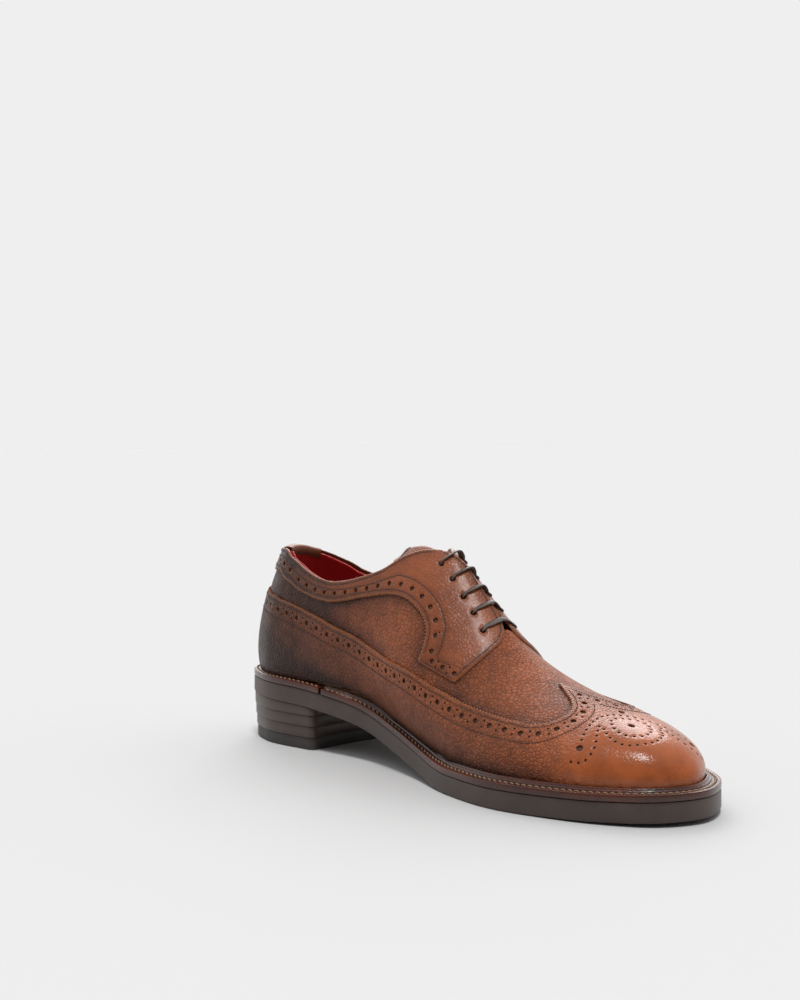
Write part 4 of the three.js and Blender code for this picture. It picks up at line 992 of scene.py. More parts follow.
def wing_edge(side):
    if side > 0:
        flat = [(218.5, 0), (225, 3), (232.5, 7), (239, 12.5), (241.5, 19), (239, 26), (232, 32)]
        steep = [(221, 36), (206, 38), (184, 42.5), (161, 49.5), (135, 56.5), (109, 63), (85, 69), (60, 74.5)]
    else:
        flat = [(218.5, 0), (225, 3), (232.5, 6.8), (238, 12.4), (239, 18.3), (236, 24.3), (229, 29.5)]
        steep = [(221, 34.6), (209, 36.3), (198, 38.5), (184, 42.3), (165.5, 48.4), (147, 54.2),
                 (117.5, 60.4), (91, 67.1), (70, 72.3), (51, 76.1)]
    return ([top(side, l, w) for l, w in flat] + [wall(side, l, z) for l, z in steep]
            + [heel(side * 60, 79.5), heel(side * 30, 81), heel(side * BACK, 81.5)])


EYES = [(148, 8.3), (156, 8.7), (164, 9.3), (171.5, 9.6), (179, 10.8)]
EYE_R = 1.55
THREAD_AT = 4.7        # from the foot to the middle of the threads of the outer layer
RIM_IN = 1.9           # from a folded edge to the stitches beside it
BIG_HOLE, SMALL_HOLE, TOE_HOLE, TOE_BIG_HOLE = 1.42, .56, .66, 1.65    # radii
BIG_DEPTH, SMALL_DEPTH = .95, .6
# from a gimped edge to the first stitching, the middle of the holes and the second stitching
BAND_FIRST, BAND_HOLES, BAND_END = 2.2, 5.6, 10.0
TAB_FIRST, TAB_HOLES, TAB_END = 1.25, 3.4, 6.0     # the same for the straight lower edge of the facing


def big_holes(points, radius=BIG_HOLE):
    return [(tuple(q), radius, BIG_DEPTH) for q in points]


def small_holes(points, radius=SMALL_HOLE):
    return [(tuple(q), radius, SMALL_DEPTH) for q in points]


def own_side(line, side):
    """The points of a pattern line that lie on one side of the ridge."""
    return line[side * (line[:, 0] - ridge_x(line[:, 1])) > 0]


def at_walked(line, lengths):
    """Points of a line at lengths measured on the leather."""
    return at_lengths(line, length_along(skin(line, OUTSIDE)), np.array(lengths))


def band_punching(line, way, start, end, big_pitch=8.0, from_edge=BAND_HOLES, keep=None):
    """Big holes with pairs of small ones between them, along the inside of a gimped edge."""
    mid = beside(line, way * from_edge)
    if keep:
        mid = own_side(mid, keep)
    big = walk(mid, big_pitch, start, end)
    holes = big_holes(big)
    u = length_along(skin(mid, OUTSIDE))
    at = length_along(skin(big, OUTSIDE)) + start
    for off in (-1.55, 1.55):
        holes += small_holes(at_lengths(beside(mid, off), u, (at[:-1] + at[1:]) / 2))
    return holes


# A falloff away from pattern lines: painted shade beside overlapping pieces on the vamp and quarters,
# burnishing elsewhere.
def shade_and_burnish(curves, reach=3.2, strength=.85):
    cloud = np.concatenate([dense(c, .8) for c in curves])

    def value(q):
        return strength * np.exp(-near(q, cloud) / reach)
    return value


def common_dark(v):
    """Darker low by the welt and on the side walls, partly burnishing and partly painted shade, and darker
    round the back of the heel.
    """
    z = np.maximum(v[:, 2] - floor(v[:, 1]) - 1.0, 0)
    sides = 1 - smooth01((v[:, 1] - 215) / 50)
    # the low and sides terms are painted shade on the lower walls as well as burnishing
    low = .5 * np.exp(-z / 3.5) + .62 * sides * np.exp(-z / 18)
    back = .8 * (1 - smooth01((v[:, 1] - 15) / 125))
    return low + back


# ---------------------------------------------------------------- upper
WING = {s: curve(wing_edge(s), 260) for s in (1, -1)}
BAND = {s: curve(band_low(s), 240) for s in (1, -1)}
FRONT = {s: curve(front_edge(s), 60) for s in (1, -1)}
RIDGE = {s: curve(ridge_edge(s), 60) for s in (1, -1)}
TOP = {s: curve(topline(s), 200) for s in (1, -1)}
SIDE_NAME = {1: "lateral", -1: "medial"}


def medallion():
    """Punched pattern on the toe: four big holes with loops and rows of small ones."""
    start, turn_by = np.array([ridge_x(LA) - 6.5, 270.4]), math.radians(31.6)
    across = np.array([math.cos(turn_by), math.sin(turn_by)])
    along = np.array([-across[1], across[0]])

    def at(pts):
        pts = np.atleast_2d(np.asarray(pts, float))
        return start + pts[:, :1] * across + pts[:, 1:] * along
    big = [(0, -6.3), (0, -22.3), (25.7, 0), (-25.7, 0)]
    rows = [[(14.4, -7.5), (16.2, -4), (17.6, -.5), (19, 2.6), (21.8, 5.2), (25.4, 5.9), (28.6, 4.6),
             (31.3, 2.2)],
            [(1.7, -17.8), (5.2, -17.5), (9, -16.4), (13.9, -13.4), (19.1, -8.6), (23.7, -3)],
            [(12.8, -8), (12.9, -2.5), (11.3, 3), (7.8, 7), (3.8, 8.9), (1.7, 9.2)],
            [(1.7, -13.9), (5, -13.4), (7.9, -11.2), (8.8, -7), (8.2, -2.5), (5.6, 1.8), (1.7, 3.8)]]
    small = [walk(at(curve([(s * x, y) for x, y in row], 60)), 3.5) for s in (1, -1) for row in rows]
    return big_holes(at(big), TOE_BIG_HOLE) + small_holes(np.concatenate(small), TOE_HOLE)


def keep_apart(holes, gap=.55):
    out = []
    for q, r, depth in sorted(holes, key=lambda h: -h[1]):
        if all(math.hypot(q[0] - p[0], q[1] - p[1]) > r + s + gap for p, s, _ in out):
            out.append((q, r, depth))
    return out


def wing_cap():
    a, b = WING[1][::-1], WING[-1]
    t1, t0 = N + t_heel(-BACK), t_heel(BACK)
    low = plane(np.linspace(t1, t0, 300), 0)
    seam_m = np.linspace(b[-1], low[0], 30)
    seam_l = np.linspace(low[-1], a[0], 30)
    holes = medallion()
    grooves = []
    for s in (1, -1):
        holes += band_punching(WING[s], s, .4, 5, 8.7, keep=s)
        grooves += [(own_side(beside(WING[s], s * gap), s)[1:-3], .16) for gap in (BAND_FIRST, BAND_END)]

    def marks(q, v, att):
        toe = smooth01((v[:, 1] - 238) / 26)
        band = np.maximum(shade_and_burnish([WING[1], WING[-1]], 6.0, 1.0)(q) - .1, 0)
        edge_dark = .34 * np.exp(-att["far"] / 1.3) * (v[:, 2] > floor(v[:, 1]) + 4)
        return {"sleek": np.clip(toe * .93 + .35 * band, 0, 1),
                "dark": np.clip(common_dark(v) * (1 - .7 * toe) + edge_dark, 0, 1)}
    parts = [(a, "gimp"), (b, "gimp"), (seam_m, "plain"), (low, "hidden"), (seam_l, "plain")]
    leather("wing_cap_leather", ["wing_cap"], parts, OVERLAY, UPPER_LEATHER, "upper_leather",
            keep_apart(holes), grooves, marks=marks)
    stitching("wing_stitching", [(line, THREAD_AT) for line, _ in grooves])


wing_cap()


def vamp():
    front = {1: [top(1, 229, 0), top(1, 240, 5.5), top(1, 248, 13), top(1, 249, 24), top(1, 240, 36),
                 wall(1, 222, 29.5), wall(1, 206, 31.5), wall(1, 184, 36), wall(1, 170.1, 39)],
             -1: [top(-1, 229, 0), top(-1, 240, 5.5), top(-1, 246, 13), top(-1, 245.5, 23),
                  top(-1, 237, 32.6), wall(-1, 219, 28.5), wall(-1, 200, 32), wall(-1, 181, 36.5),
                  wall(-1, 170.1, 39.5)]}

    def back(s):
        return [front[s][-1], wall(s, 170.1, 55), top(s, 172.5, 27), top(s, 175, 19.5), top(s, 181.5, 18),
                top(s, 186, 15), top(s, 185.5, 9), top(s, 184, 0)]
    parts = [(curve(front[1][::-1], 120), "hidden"), (curve(front[-1], 120), "hidden"),
             (curve(back(-1), 90), "plain"), (curve(back(1)[::-1], 90), "plain")]
    shadow = shade_and_burnish([WING[1], WING[-1]], 4.5, .75)
    shadow2 = shade_and_burnish([FRONT[1][:40], FRONT[-1][:40]], 5.0, .55)

    def marks(q, v, att):
        return {"sleek": np.zeros(len(q)), "dark": np.clip(shadow(q) + shadow2(q), 0, .95)}
    leather("vamp_leather", ["vamp"], parts, BASE, UPPER_LEATHER, "upper_leather", fine=1.8, coarse=1.8,
            marks=marks)


vamp()


def bar_tack(side):
    """The little stitched rectangle that holds the front corner of the facing down."""
    c = [top(side, l, w) for l, w in ((176.6, 31.5), (176.5, 34), (181.4, 31.3), (182.4, 28.9))]
    return [np.linspace(c[i], c[i - 1], 12) for i in range(4)]


def side_panels(side):
    name = SIDE_NAME[side]
    way = side      # which side of the pattern lines is inwards
    t, f, r, b = TOP[side], FRONT[side], RIDGE[side], BAND[side]
    tab_edge = np.linspace(b[-1], f[0], 40)
    seam = np.linspace(t[0], b[0], 20)
    room = near(b, dense(t, .5)) - RIM_IN - 2.3      # the band is narrower round the collar
    second = np.minimum(BAND_END, room)
    middle = np.minimum(BAND_HOLES, (BAND_FIRST + second) / 2)
    holes = band_punching(b, way, 5.5, 6.5, from_edge=middle)
    tab_row = beside(tab_edge, way * TAB_HOLES)
    holes += big_holes(at_walked(tab_row, [7.6, 14.8, 22.2]))
    for off in (-1.5, 1.5):
        holes += small_holes(at_walked(beside(tab_row, off), [11.2, 18.5]))
    holes = keep_apart(holes)
    eyes = [(tuple(top(side, l, w)), EYE_R, None) for l, w in EYES]
    inner_line, tab_inner = beside(b, way * second), beside(tab_edge, way * TAB_END)
    apart = np.linalg.norm(inner_line[:, None] - tab_inner[None], axis=2)
    i, j = np.unravel_index(np.argmin(apart), apart.shape)
    inner_line = np.concatenate([inner_line[:i], tab_inner[j + 1:-10]])
    low_line = beside(b, way * BAND_FIRST)[2:-6]
    tab_line = beside(tab_edge, way * TAB_FIRST)[4:-4]
    front_all = np.concatenate([f, r[1:]])
    front_line = beside(curve(front_all[::6], 200), way * RIM_IN)[8:]
    top_line = beside(t, -way * RIM_IN)[2:-4]
    rows = [inner_line, low_line, tab_line, front_line, top_line]

    def marks(q, v, att):
        edge_dark = .4 * np.exp(-att["far"] / 1.2)
        near_rows = shade_and_burnish(rows, 1.0, .22)(q)
        dark = np.clip(common_dark(v) + edge_dark + near_rows, 0, .95)
        return {"sleek": np.full(len(q), .45), "dark": dark}
    parts = [(t, "rim"), (r[::-1], "rim"), (f[::-1], "rim"), (tab_edge[::-1], "plain"), (b[::-1], "gimp"),
             (seam[::-1], "plain")]
    leather("facing_" + name + "_leather", ["facing_" + name], parts, OVERLAY, FACING_LEATHER,
            "upper_leather", holes + eyes, [(k, .15) for k in rows], marks=marks)
    stitching("facing_" + name + "_stitching", [(k, THREAD_AT) for k in rows + bar_tack(side)], pitch=1.35)
    quarter(side)
    linings(side)


def quarter(side):
    name = SIDE_NAME[side]
    fall = topline(side, 5)[:-AFTER_CORNER]
    front = [fall[-1], top(side, 132, 26), top(side, 150, 24), top(side, 163, 25.5), wall(side, 169.5, 66),
             wall(side, 169.7, 55), wall(side, 169.7, 39.5 if side > 0 else 40)]
    low = {1: [(169.7, 39.5), (135, 48), (109, 54), (85, 60), (60, 65.5)],
           -1: [(169.7, 40), (138, 48), (112, 53), (87, 59), (60, 66)]}[side]
    low = [wall(side, l, z) for l, z in low]
    low += [heel(side * deg, z) for deg, z in ((60, 70.5), (30, 72), (BACK, 72.5))]
    seam = np.linspace(low[-1], fall[0], 20)
    shadow = shade_and_burnish([BAND[side]], 5.0, .8)
    shadow2 = shade_and_burnish([WING[side][120:]], 4.0, .7)

    def marks(q, v, att):
        return {"sleek": np.zeros(len(q)), "dark": np.clip(common_dark(v) + shadow(q) + shadow2(q), 0, .95)}
    parts = [(curve(fall, 120), "hidden"), (curve(front, 80), "plain"), (curve(low, 120), "hidden"),
             (seam, "plain")]
    leather("quarter_" + name + "_leather", ["quarter_" + name], parts, BASE, UPPER_LEATHER, "upper_leather",
            fine=1.9, coarse=1.9, marks=marks)


def linings(side):
    name = SIDE_NAME[side]
    lt = curve(topline(side, .35)[:-AFTER_CORNER], 120)
    lf = curve([lt[-1], top(side, 130, 28), top(side, 150, 26), top(side, 168, 27), wall(side, 173, 60),
                wall(side, 173, 40), edge(side, 173)], 90)
    t0 = t_side(side, 173)
    t1 = t_heel(BACK) if side > 0 else N + t_heel(-BACK)
    low = plane(np.linspace(t0, t1, 200), 0)
    seam = np.linspace(low[-1], lt[0], 30)

    def marks(q, v, att):
        # painted shade: the lining darkens low down, deep inside the shoe
        above = np.maximum(v[:, 2] - floor(v[:, 1]), 0)
        return {"dark": .5 * np.exp(-above / 6), "cut": att["cut"] * 0}
    parts = [(lt, "plain"), (lf, "plain"), (low, "hidden"), (seam, "plain")]
    leather("lining_" + name, ["lining_quarter_" + name], parts, LINING, LINING_LEATHER, "lining_leather",
            fine=2.4, coarse=2.8, marks=marks)


for side in (1, -1):
    side_panels(side)


def vamp_lining():
    def half(s):
        return curve([edge(s, 175.5), wall(s, 175.5, 40), wall(s, 175.5, 60), top(s, 178.5, 22),
                      top(s, 184, 13), top(s, 191, 6), top(s, 192, 0)], 80)
    low = plane(np.linspace(t_side(1, 175.5), t_side(-1, 175.5), 240), 0)
    parts = [(half(-1), "plain"), (half(1)[::-1], "plain"), (low, "hidden")]
    leather("lining_vamp_leather", ["lining_vamp"], parts, LINING, LINING_LEATHER, "lining_leather",
            fine=2.8, coarse=2.8, marks=lambda q, v, att: {"dark": np.zeros(len(q))})


vamp_lining()


TONGUE_STITCH = -2.4    # from the edge of the tongue to its stitching


def tongue():
    """Low behind the lace row, rising to its seam under the vamp, its top rounded over the instep."""
    ramp = spline1([[112, -1.2], [140, -1.2], [150, -.9], [172, -.9], [176, -.9], [183, .45], [200, .45]])
    drop = spline1([[113, 16.2], [120, 11.6], [125, 8.5], [130, 6.2], [140, 2.8], [150, .4], [156, 0]])

    def bend(q):
        w = np.clip((q[:, 0] - ridge_x(q[:, 1])) / 30, -1, 1)
        return drop(np.clip(q[:, 1], 113, 156)) * (1 - w * w) ** 2

    def lay(q):
        return ramp(q[:, 1])

    def both(pts, n):
        a, b = ([top(s, l, w) for l, w in pts] for s in (1, -1))
        return curve(a, n), curve(b[::-1], n)
    a, b = both([(190, 0), (189.5, 4), (187, 8), (181, 8.6), (176, 13.5), (168, 18), (150, 20), (140, 22),
                 (133, 24.5), (127, 26.8), (123, 27.2), (119, 25.3), (116, 21), (114.5, 15), (113.8, 8),
                 (113.6, 0)], 120)
    stitch = beside(walk(np.concatenate([a[58:], b[1:62]]), 1.5), TONGUE_STITCH)
    leather("tongue_leather", ["tongue"], [(a, "plain"), (b, "plain")], (0, 1), TONGUE_LEATHER,
            "tongue_leather", grooves=[(stitch, .1)], fine=1.6, coarse=1.6, body="tongue", heights=lay,
            bend=bend,
            marks=lambda q, v, att: {"dark": np.clip(.35 * np.exp(-att["far"] / 2.5), 0, 1)})
    stitching("tongue_stitching", [(stitch, -.25)], pitch=1.6, body="tongue", bend=bend)
    a, b = both([(172, 0), (172, 8), (171, 13.5), (167, 16.6), (150, 18.8), (140, 20.8), (133, 23.3),
                 (127, 25.5), (123.5, 25.8), (120, 24.1), (117.5, 20), (116.2, 14.5), (115.6, 8),
                 (115.4, 0)], 90)
    leather("tongue_lining_leather", ["tongue_lining"], [(a, "plain"), (b, "plain")], (-.6, -1.4),
            LINING_LEATHER, "inner_leather", fine=2.2, coarse=2.4, body="tongue", heights=lay, bend=bend,
            marks=lambda q, v, att: {"dark": np.zeros(len(q)), "cut": att["cut"] * 0})


tongue()


def heel_tab():
    """Leather strip that binds the top of the back seam, folded over the topline."""
    degs = np.linspace(-33, 35.5, 71)
    t = np.array([t_heel(d) for d in degs])
    zt = spline1([[-35, 103.2], [0, 103.8], [35, 100.8]])(degs)

    def at(z, d):
        return skin(plane(t, v_of(HEIGHT, t, z, False)), np.full(len(t), d))
    crest = at(zt, 2.2)
    rows = [at(zt - h, -.95) for h in (3.2, 2.9, 2.0, 1.0)]
    for a in np.linspace(0, math.pi, 9):
        p = at(zt, 2.2 - 3.15 * math.cos(a))
        p[:, 2] = crest[:, 2] + 1.6 * math.sin(a) - .2
        rows.append(p)
    rows += [at(zt - h, 5.4) for h in (1.0, 2.2)]
    rows += [at(zt - h, 4.7) for h in (2.3, 1.0)]
    for a in np.linspace(math.pi, 0, 7):
        p = at(zt, 2.2 - 2.4 * math.cos(a))
        p[:, 2] = crest[:, 2] + .85 * math.sin(a) - .2
        rows.append(p)
    rows += [at(zt - h, -.2) for h in (1.0, 2.0, 2.9, 3.2)]
    m, n = len(rows), len(t)
    verts = np.concatenate(rows)
    faces = []
    for j in range(m):
        a, b = j * n, ((j + 1) % m) * n
        faces += [(a + i, a + i + 1, b + i + 1, b + i) for i in range(n - 1)]
    half = m // 2
    for i in (0, n - 1):
        for j in range(half):
            a, b, c, d = j, (j + 1) % m, (m - 2 - j) % m, (m - 1 - j) % m
            if len({a, b, c, d}) == 4:
                faces.append((a * n + i, b * n + i, c * n + i, d * n + i))
    far = np.tile(np.minimum(np.arange(n), n - 1 - np.arange(n)) * .5, m)
    marks = {"dark": .3 * np.exp(-far), "cut": .5 * np.exp(-far / .4)}
    obj = mesh_object("heel_tab_leather", verts, faces, marks)
    finish_piece(obj, TAB_LEATHER, "heel_tab_leather", ["heel_tab"])
    line = plane(t[2:-2], v_of(HEIGHT, t[2:-2], zt[2:-2] - 2.1, False))
    stitching("heel_tab_stitching", [(line, -1.0)], pitch=2.0)


heel_tab()

# ---------------------------------------------------------------- lace


def lace():
    inside_d, out_d = 1.75, 5.3

    def eye(side, i, d, dl=0.0, dw=0.0):
        l, w = EYES[i]
        return skin(top(side, l + dl, w + dw), d)[0]

    def across(start, i):
        l, w = EYES[i]
        p = [eye(start, i, inside_d + .4), eye(start, i, 3.4), eye(start, i, 4.9, 0, -.3),
             eye(start, i, out_d, 0, -2.1)]
        for k in (-.55, -.2, .02, .2, .55):
            q = np.array([[ridge_x(l) - start * k * w, l + 1.3 * (1 - (k / .7) ** 2)]])
            over = .5 * float(dip(q)[0]) if abs(k) < .3 else 0
            p.append(skin(q, out_d + over)[0])
        return p + [eye(-start, i, out_d, 0, -2.1), eye(-start, i, 4.9, 0, -.3), eye(-start, i, 3.4),
                    eye(-start, i, inside_d + .4)]

    def link(side, i, j):
        dl, dw = EYES[j][0] - EYES[i][0], EYES[j][1] - EYES[i][1]
        return [eye(side, i, inside_d, dl * .22), eye(side, i, inside_d, dl * .5, dw * .5),
                eye(side, j, inside_d, -dl * .22)]

    def lane(side, l, w):
        return skin(top(side, l, w), inside_d)[0]
    tail_a = [(152, 18.6), (160, 18.4), (168, 18.2), (175, 17.6), (180.5, 16.2), (182.4, 14.4)]
    tail_b = [(149.4, 11), (150.6, 14.6), (153, 17), (156.5, 18.3), (160, 18.5), (163.5, 18.5)]
    nodes = [lane(1, l, w) for l, w in tail_a]
    side = 1
    for i in (4, 3, 2, 1, 0):
        nodes += across(side, i)
        side = -side
        if i:
            nodes += link(side, i, i - 1)
    nodes += [lane(-1, l, w) for l, w in tail_b]
    path = curve(nodes, 900)
    mid = np.array([ridge_x(165), 165.0, 40.0])
    out = path - mid
    out /= np.linalg.norm(out, axis=1)[:, None]
    t = np.gradient(path, axis=0)
    t /= np.linalg.norm(t, axis=1)[:, None]
    n = out - (out * t).sum(1)[:, None] * t
    n /= np.linalg.norm(n, axis=1)[:, None]
    for _ in range(30):
        n = (np.roll(n, 1, 0) + n + np.roll(n, -1, 0)) / 3
    n -= (n * t).sum(1)[:, None] * t
    n /= np.linalg.norm(n, axis=1)[:, None]
    w = np.cross(t, n)
    u = length_along(path)
    sides = 16
    a = 2 * math.pi * np.arange(sides) / sides
    holes_at = np.array([eye(side, i, OUTSIDE) for side in (1, -1) for i in range(len(EYES))])
    half_w = 1.0 + .6 * smooth01((near(path, holes_at) - 1.2) / 3.5)     # narrow where it goes through a hole
    ring = (np.cos(a)[None, :, None] * n[:, None, :] * .55
            + np.sin(a)[None, :, None] * w[:, None, :] * half_w[:, None, None])
    v = path[:, None, :] + ring
    verts = np.concatenate([v.reshape(-1, 3), path[[0, -1]]])
    m = len(path)
    rings = [range(i * sides, (i + 1) * sides) for i in range(m)]
    faces = [(a[j], a[(j + 1) % sides], b[(j + 1) % sides], b[j])
             for a, b in zip(rings, rings[1:]) for j in range(sides)]
    faces += [(m * sides, (j + 1) % sides, j) for j in range(sides)]
    faces += [(m * sides + 1, (m - 1) * sides + j, (m - 1) * sides + (j + 1) % sides) for j in range(sides)]
    att = {"lace_u": np.concatenate([np.repeat(u, sides), [0, 0]]),
           "lace_v": np.concatenate([np.tile(np.arange(sides) * 6 / sides, m), [0, 0]])}
    finish_piece(mesh_object("waxed_lace", verts, faces, att, sharp=80), LACE, "lace_cotton", ["lace"])


lace()

# ---------------------------------------------------------------- sole unit
PLAN = OUT[::2]


def outsole():
    profile = [(6, 0, "low"), (1.4, 0, "low"), (.5, .14, "low"), (.12, .55, "low"), (0, 1.2, "low"),
               (.05, 4.6, "high"), (.1, 7.6, "high"), (.14, 8.5, "high"), (.34, 9.0, "high"),
               (1.0, 9.35, "high"), (3.0, SOLE, "high")]
    plate("rubber_outsole", ["outsole"], PLAN, profile, SOLE_RUBBER, "sole_rubber")


outsole()


def upper_reach(l, side):
    """Distance from the sole's edge to the upper just above the welt."""
    p = skin(wall(side, l, floor(l) + 1.6), OUTSIDE)[0]
    f = F[int(round(float(t_side(side, l)))) % N]
    lean = abs(p[0] - f[0]) if LH < l < LA - 10 else UPPER + .4
    return float(margin(l)) + UPPER - lean


REACH = {s: spline1([[l, upper_reach(l, s)] for l in np.linspace(70, 296, 30)]) for s in (1, -1)}


def breast_index(side, l=76):
    ok = np.where((OUT[:, 0] > ridge_x(np.clip(OUT[:, 1], LH, LA))) == (side > 0), np.abs(OUT[:, 1] - l), 1e9)
    return int(np.argmin(ok))


def along_edge(start, stop, n):
    """Outline points with their inward directions."""
    u = np.linspace(start, stop, n)
    k = np.floor(u).astype(int)
    f = (u - k)[:, None]
    p = OUT[k % OUT_POINTS] * (1 - f) + OUT[(k + 1) % OUT_POINTS] * f
    d = OUT[(k + 5) % OUT_POINTS] - OUT[(k - 4) % OUT_POINTS]
    d /= np.linalg.norm(d, axis=1)[:, None]
    way = 1 if area2(OUT) > 0 else -1
    return p, np.stack([-d[:, 1], d[:, 0]], 1) * way


def swept(name, nodes, points, inward, section, material, attributes):
    """A strip along the sole's edge. section(point) gives (inset, height) rows of a closed section."""
    rows = []
    for p, n in zip(points, inward):
        sec = np.array(section(p))
        q = p + n * sec[:, :1]
        rows.append(np.concatenate([q, (bottom(q[:, 1]) + sec[:, 1])[:, None]], 1))
    m, k = len(rows), len(rows[0])
    verts = np.concatenate(rows)
    faces = [(i * k + j, i * k + (j + 1) % k, (i + 1) * k + (j + 1) % k, (i + 1) * k + j)
             for i in range(m - 1) for j in range(k)]
    for i in (0, m - 1):
        sec = np.array(section(points[i]))
        for t in triangulate(sec, [list(range(k))]):
            faces.append(tuple(int(j) + i * k for j in t))
    att = {key: np.tile(values, m) for key, values in attributes.items()}
    return finish_piece(mesh_object(name, verts, faces, att, sharp=38), material, "welt_leather", nodes)


def side_of(p):
    return 1 if p[0] > ridge_x(np.clip(p[1], LH, LA)) else -1


def bead_place(p):
    e = float(REACH[side_of(p)](p[1]))
    if p[1] > 285:  # round the toe both sides meet
        e = float(np.mean([REACH[s](285) for s in (1, -1)]))
    wide = min(2.7, max(1.2, e * .42))
    return e, wide


# the storm welt's two ridges against the upper, as (inwards, up)
BEADS = [(.15, .62), (.45, .95), (.8, .98), (1.1, .72), (1.3, .72), (1.5, 1.2), (1.85, 1.72), (2.25, 1.75),
         (2.6, 1.3), (2.9, .3)]


def edge_of_strip(lo, hi):
    """The rounded outer edge of the welt or rand, from its underside to its top."""
    return [(.5, lo), (.12, lo + .12), (.04, lo + .6), (.04, hi - .75), (.2, hi - .22), (.6, hi - .02)]


def welt():
    lo, hi = SOLE + .02, SOLE + WELT

    def section(p):
        e, wide = bead_place(p)
        b, k = e - wide + .15, wide / 2.7
        mid = (b + .55) / 2
        beads = [(b + x * k, hi + z * k) for x, z in BEADS]
        return (edge_of_strip(lo, hi)
                + [(mid - .75, hi), (mid - .4, hi - .2), (mid, hi - .3), (mid + .4, hi - .2), (mid + .75, hi),
                   (b - .1, hi - .02)] + beads + [(e + 2.5, hi), (e + 2.5, lo)])
    a, b = breast_index(1), breast_index(-1)
    if b < a:
        b += OUT_POINTS
    pts, inward = along_edge(a + 2, b - 2, 460)
    # painted shade in the welt's stitch groove, between its beads, against the upper and underneath
    dark = np.array([.6, .6, .5, .35, .1, 0, .1, .6, .9, .6, .3, .7, .2, 0, 0, .3, .55, .1, 0, 0, .4, .9,
                     1, 1])
    swept("storm_welt", ["welt"], pts, inward, section, WELT_LEATHER, {"dark": dark, "cut": dark * 0})

    def middle(p):
        e, wide = bead_place(p)
        return (e - wide + .7) / 2
    welt_stitches("welt_stitching", a + 6, b - 6, middle, hi - .12)


WELT_PITCH = 3.3


def welt_stitches(name, a, b, middle, z):
    pitch = WELT_PITCH
    pts, inward = along_edge(a, b, 900)
    u = length_along(pts)
    n = int(u[-1] / pitch)
    c = (np.arange(n) + .5) * u[-1] / n
    s = np.array([-1, -.75, 0, .75, 1.0]) * pitch * .40
    h = np.array([-.32, .08, .34, .08, -.32])
    slant = np.array([-.5, -.38, 0, .38, .5]) * .7
    paths, normals = [], []
    for k in range(n):
        p = at_lengths(pts, u, c[k] + s)
        w = at_lengths(inward, u, c[k] + s)
        e = middle(p[2])
        q = p + w * (e + slant)[:, None]
        paths.append(np.concatenate([q, (bottom(q[:, 1]) + z + h)[:, None]], 1))
        normals.append((0, 0, 1))
    radii = .42 * np.array([.5, .95, 1, .95, .5])
    return strands(name, np.array(paths), np.array(normals, float), radii, TAN_THREAD)


welt()


def heel_rand():
    lo, hi = SOLE + .02, SOLE + WELT

    def section(p):
        e = float(margin(p[1]))
        return edge_of_strip(lo, hi) + [(e * .42, hi - .05), (e * .5, hi - .2), (e * .58, hi - .05),
                                        (e * .8, hi + .05), (e + .1, hi + .35), (e + .6, hi + .3),
                                        (e + 3.5, hi), (e + 3.5, lo)]
    a, b = breast_index(1), breast_index(-1)
    if b < a:
        b += OUT_POINTS
    pts, inward = along_edge(b + 2, a + OUT_POINTS - 2, 200)
    # painted shade in the rand's stitch groove, against the upper and underneath
    dark = np.array([.6, .6, .5, .35, .1, 0, .4, .8, .4, .1, .1, .5, 1, 1])
    marks = {"dark": dark, "cut": dark * 0}
    swept("heel_rand_leather", ["heel_rand"], pts, inward, section, WELT_LEATHER, marks)

    def middle(p):
        return float(margin(p[1])) * .5
    welt_stitches("heel_rand_stitching", b + 6, a + OUT_POINTS - 6, middle, hi - .12)


heel_rand()


def heel_plan(e, front):
    """The heel's outline: the sole's edge behind the breast, and a breast that curves in a little."""
    o = inset(OUT, e)
    k = np.where(o[:, 1] < front - 1.5)[0]
    gap = np.where(np.diff(k) > 1)[0]
    if len(gap):
        k = np.concatenate([k[gap[0] + 1:], k[:gap[0] + 1]])
    back = o[k]
    s = np.linspace(0, 1, 40)[1:-1, None]
    breast = back[-1] * (1 - s) + back[0] * s
    breast[:, 1] = front - 2.4 * np.sin(math.pi * s[:, 0]) ** .8
    p = resample(np.concatenate([back, breast]), 300)
    for _ in range(6):
        p = (np.roll(p, 1, 0) + 2 * p + np.roll(p, -1, 0)) / 4
    return p


HEEL_TOP = 18.7        # where the heel meets the sole at its front


def heel_stack():
    lifts = [("heel_top_piece", 0, 6.5, HEEL_RUBBER, "heel_rubber"),
             ("heel_lift_1", 6.55, 12.5, HEEL_BOARD, "heel_stack"),
             ("heel_lift_2", 12.55, 18.5, HEEL_BOARD, "heel_stack"),
             ("heel_lift_3", 18.55, None, HEEL_BOARD, "heel_stack")]
    profile = [(4, 0, "low"), (.45, 0, "low"), (.1, .12, "low"), (0, .4, "low"), (0, -.4, "high"),
               (.1, -.12, "high"), (.45, 0, "high"), (4, 0, "high")]

    def level(z):
        if z is None:
            return lambda p: bottom(p[:, 1]) + .02
        return lambda p: np.full(len(p), z)
    for name, z0, z1, material, slot in lifts:
        plan = heel_plan(1.9 - z0 / HEEL_TOP * 1.4, 70 - (HEEL_TOP - z0) * .08)
        plate(name + "_edge", [name], plan, profile, material, slot, level(z0), level(z1))


heel_stack()


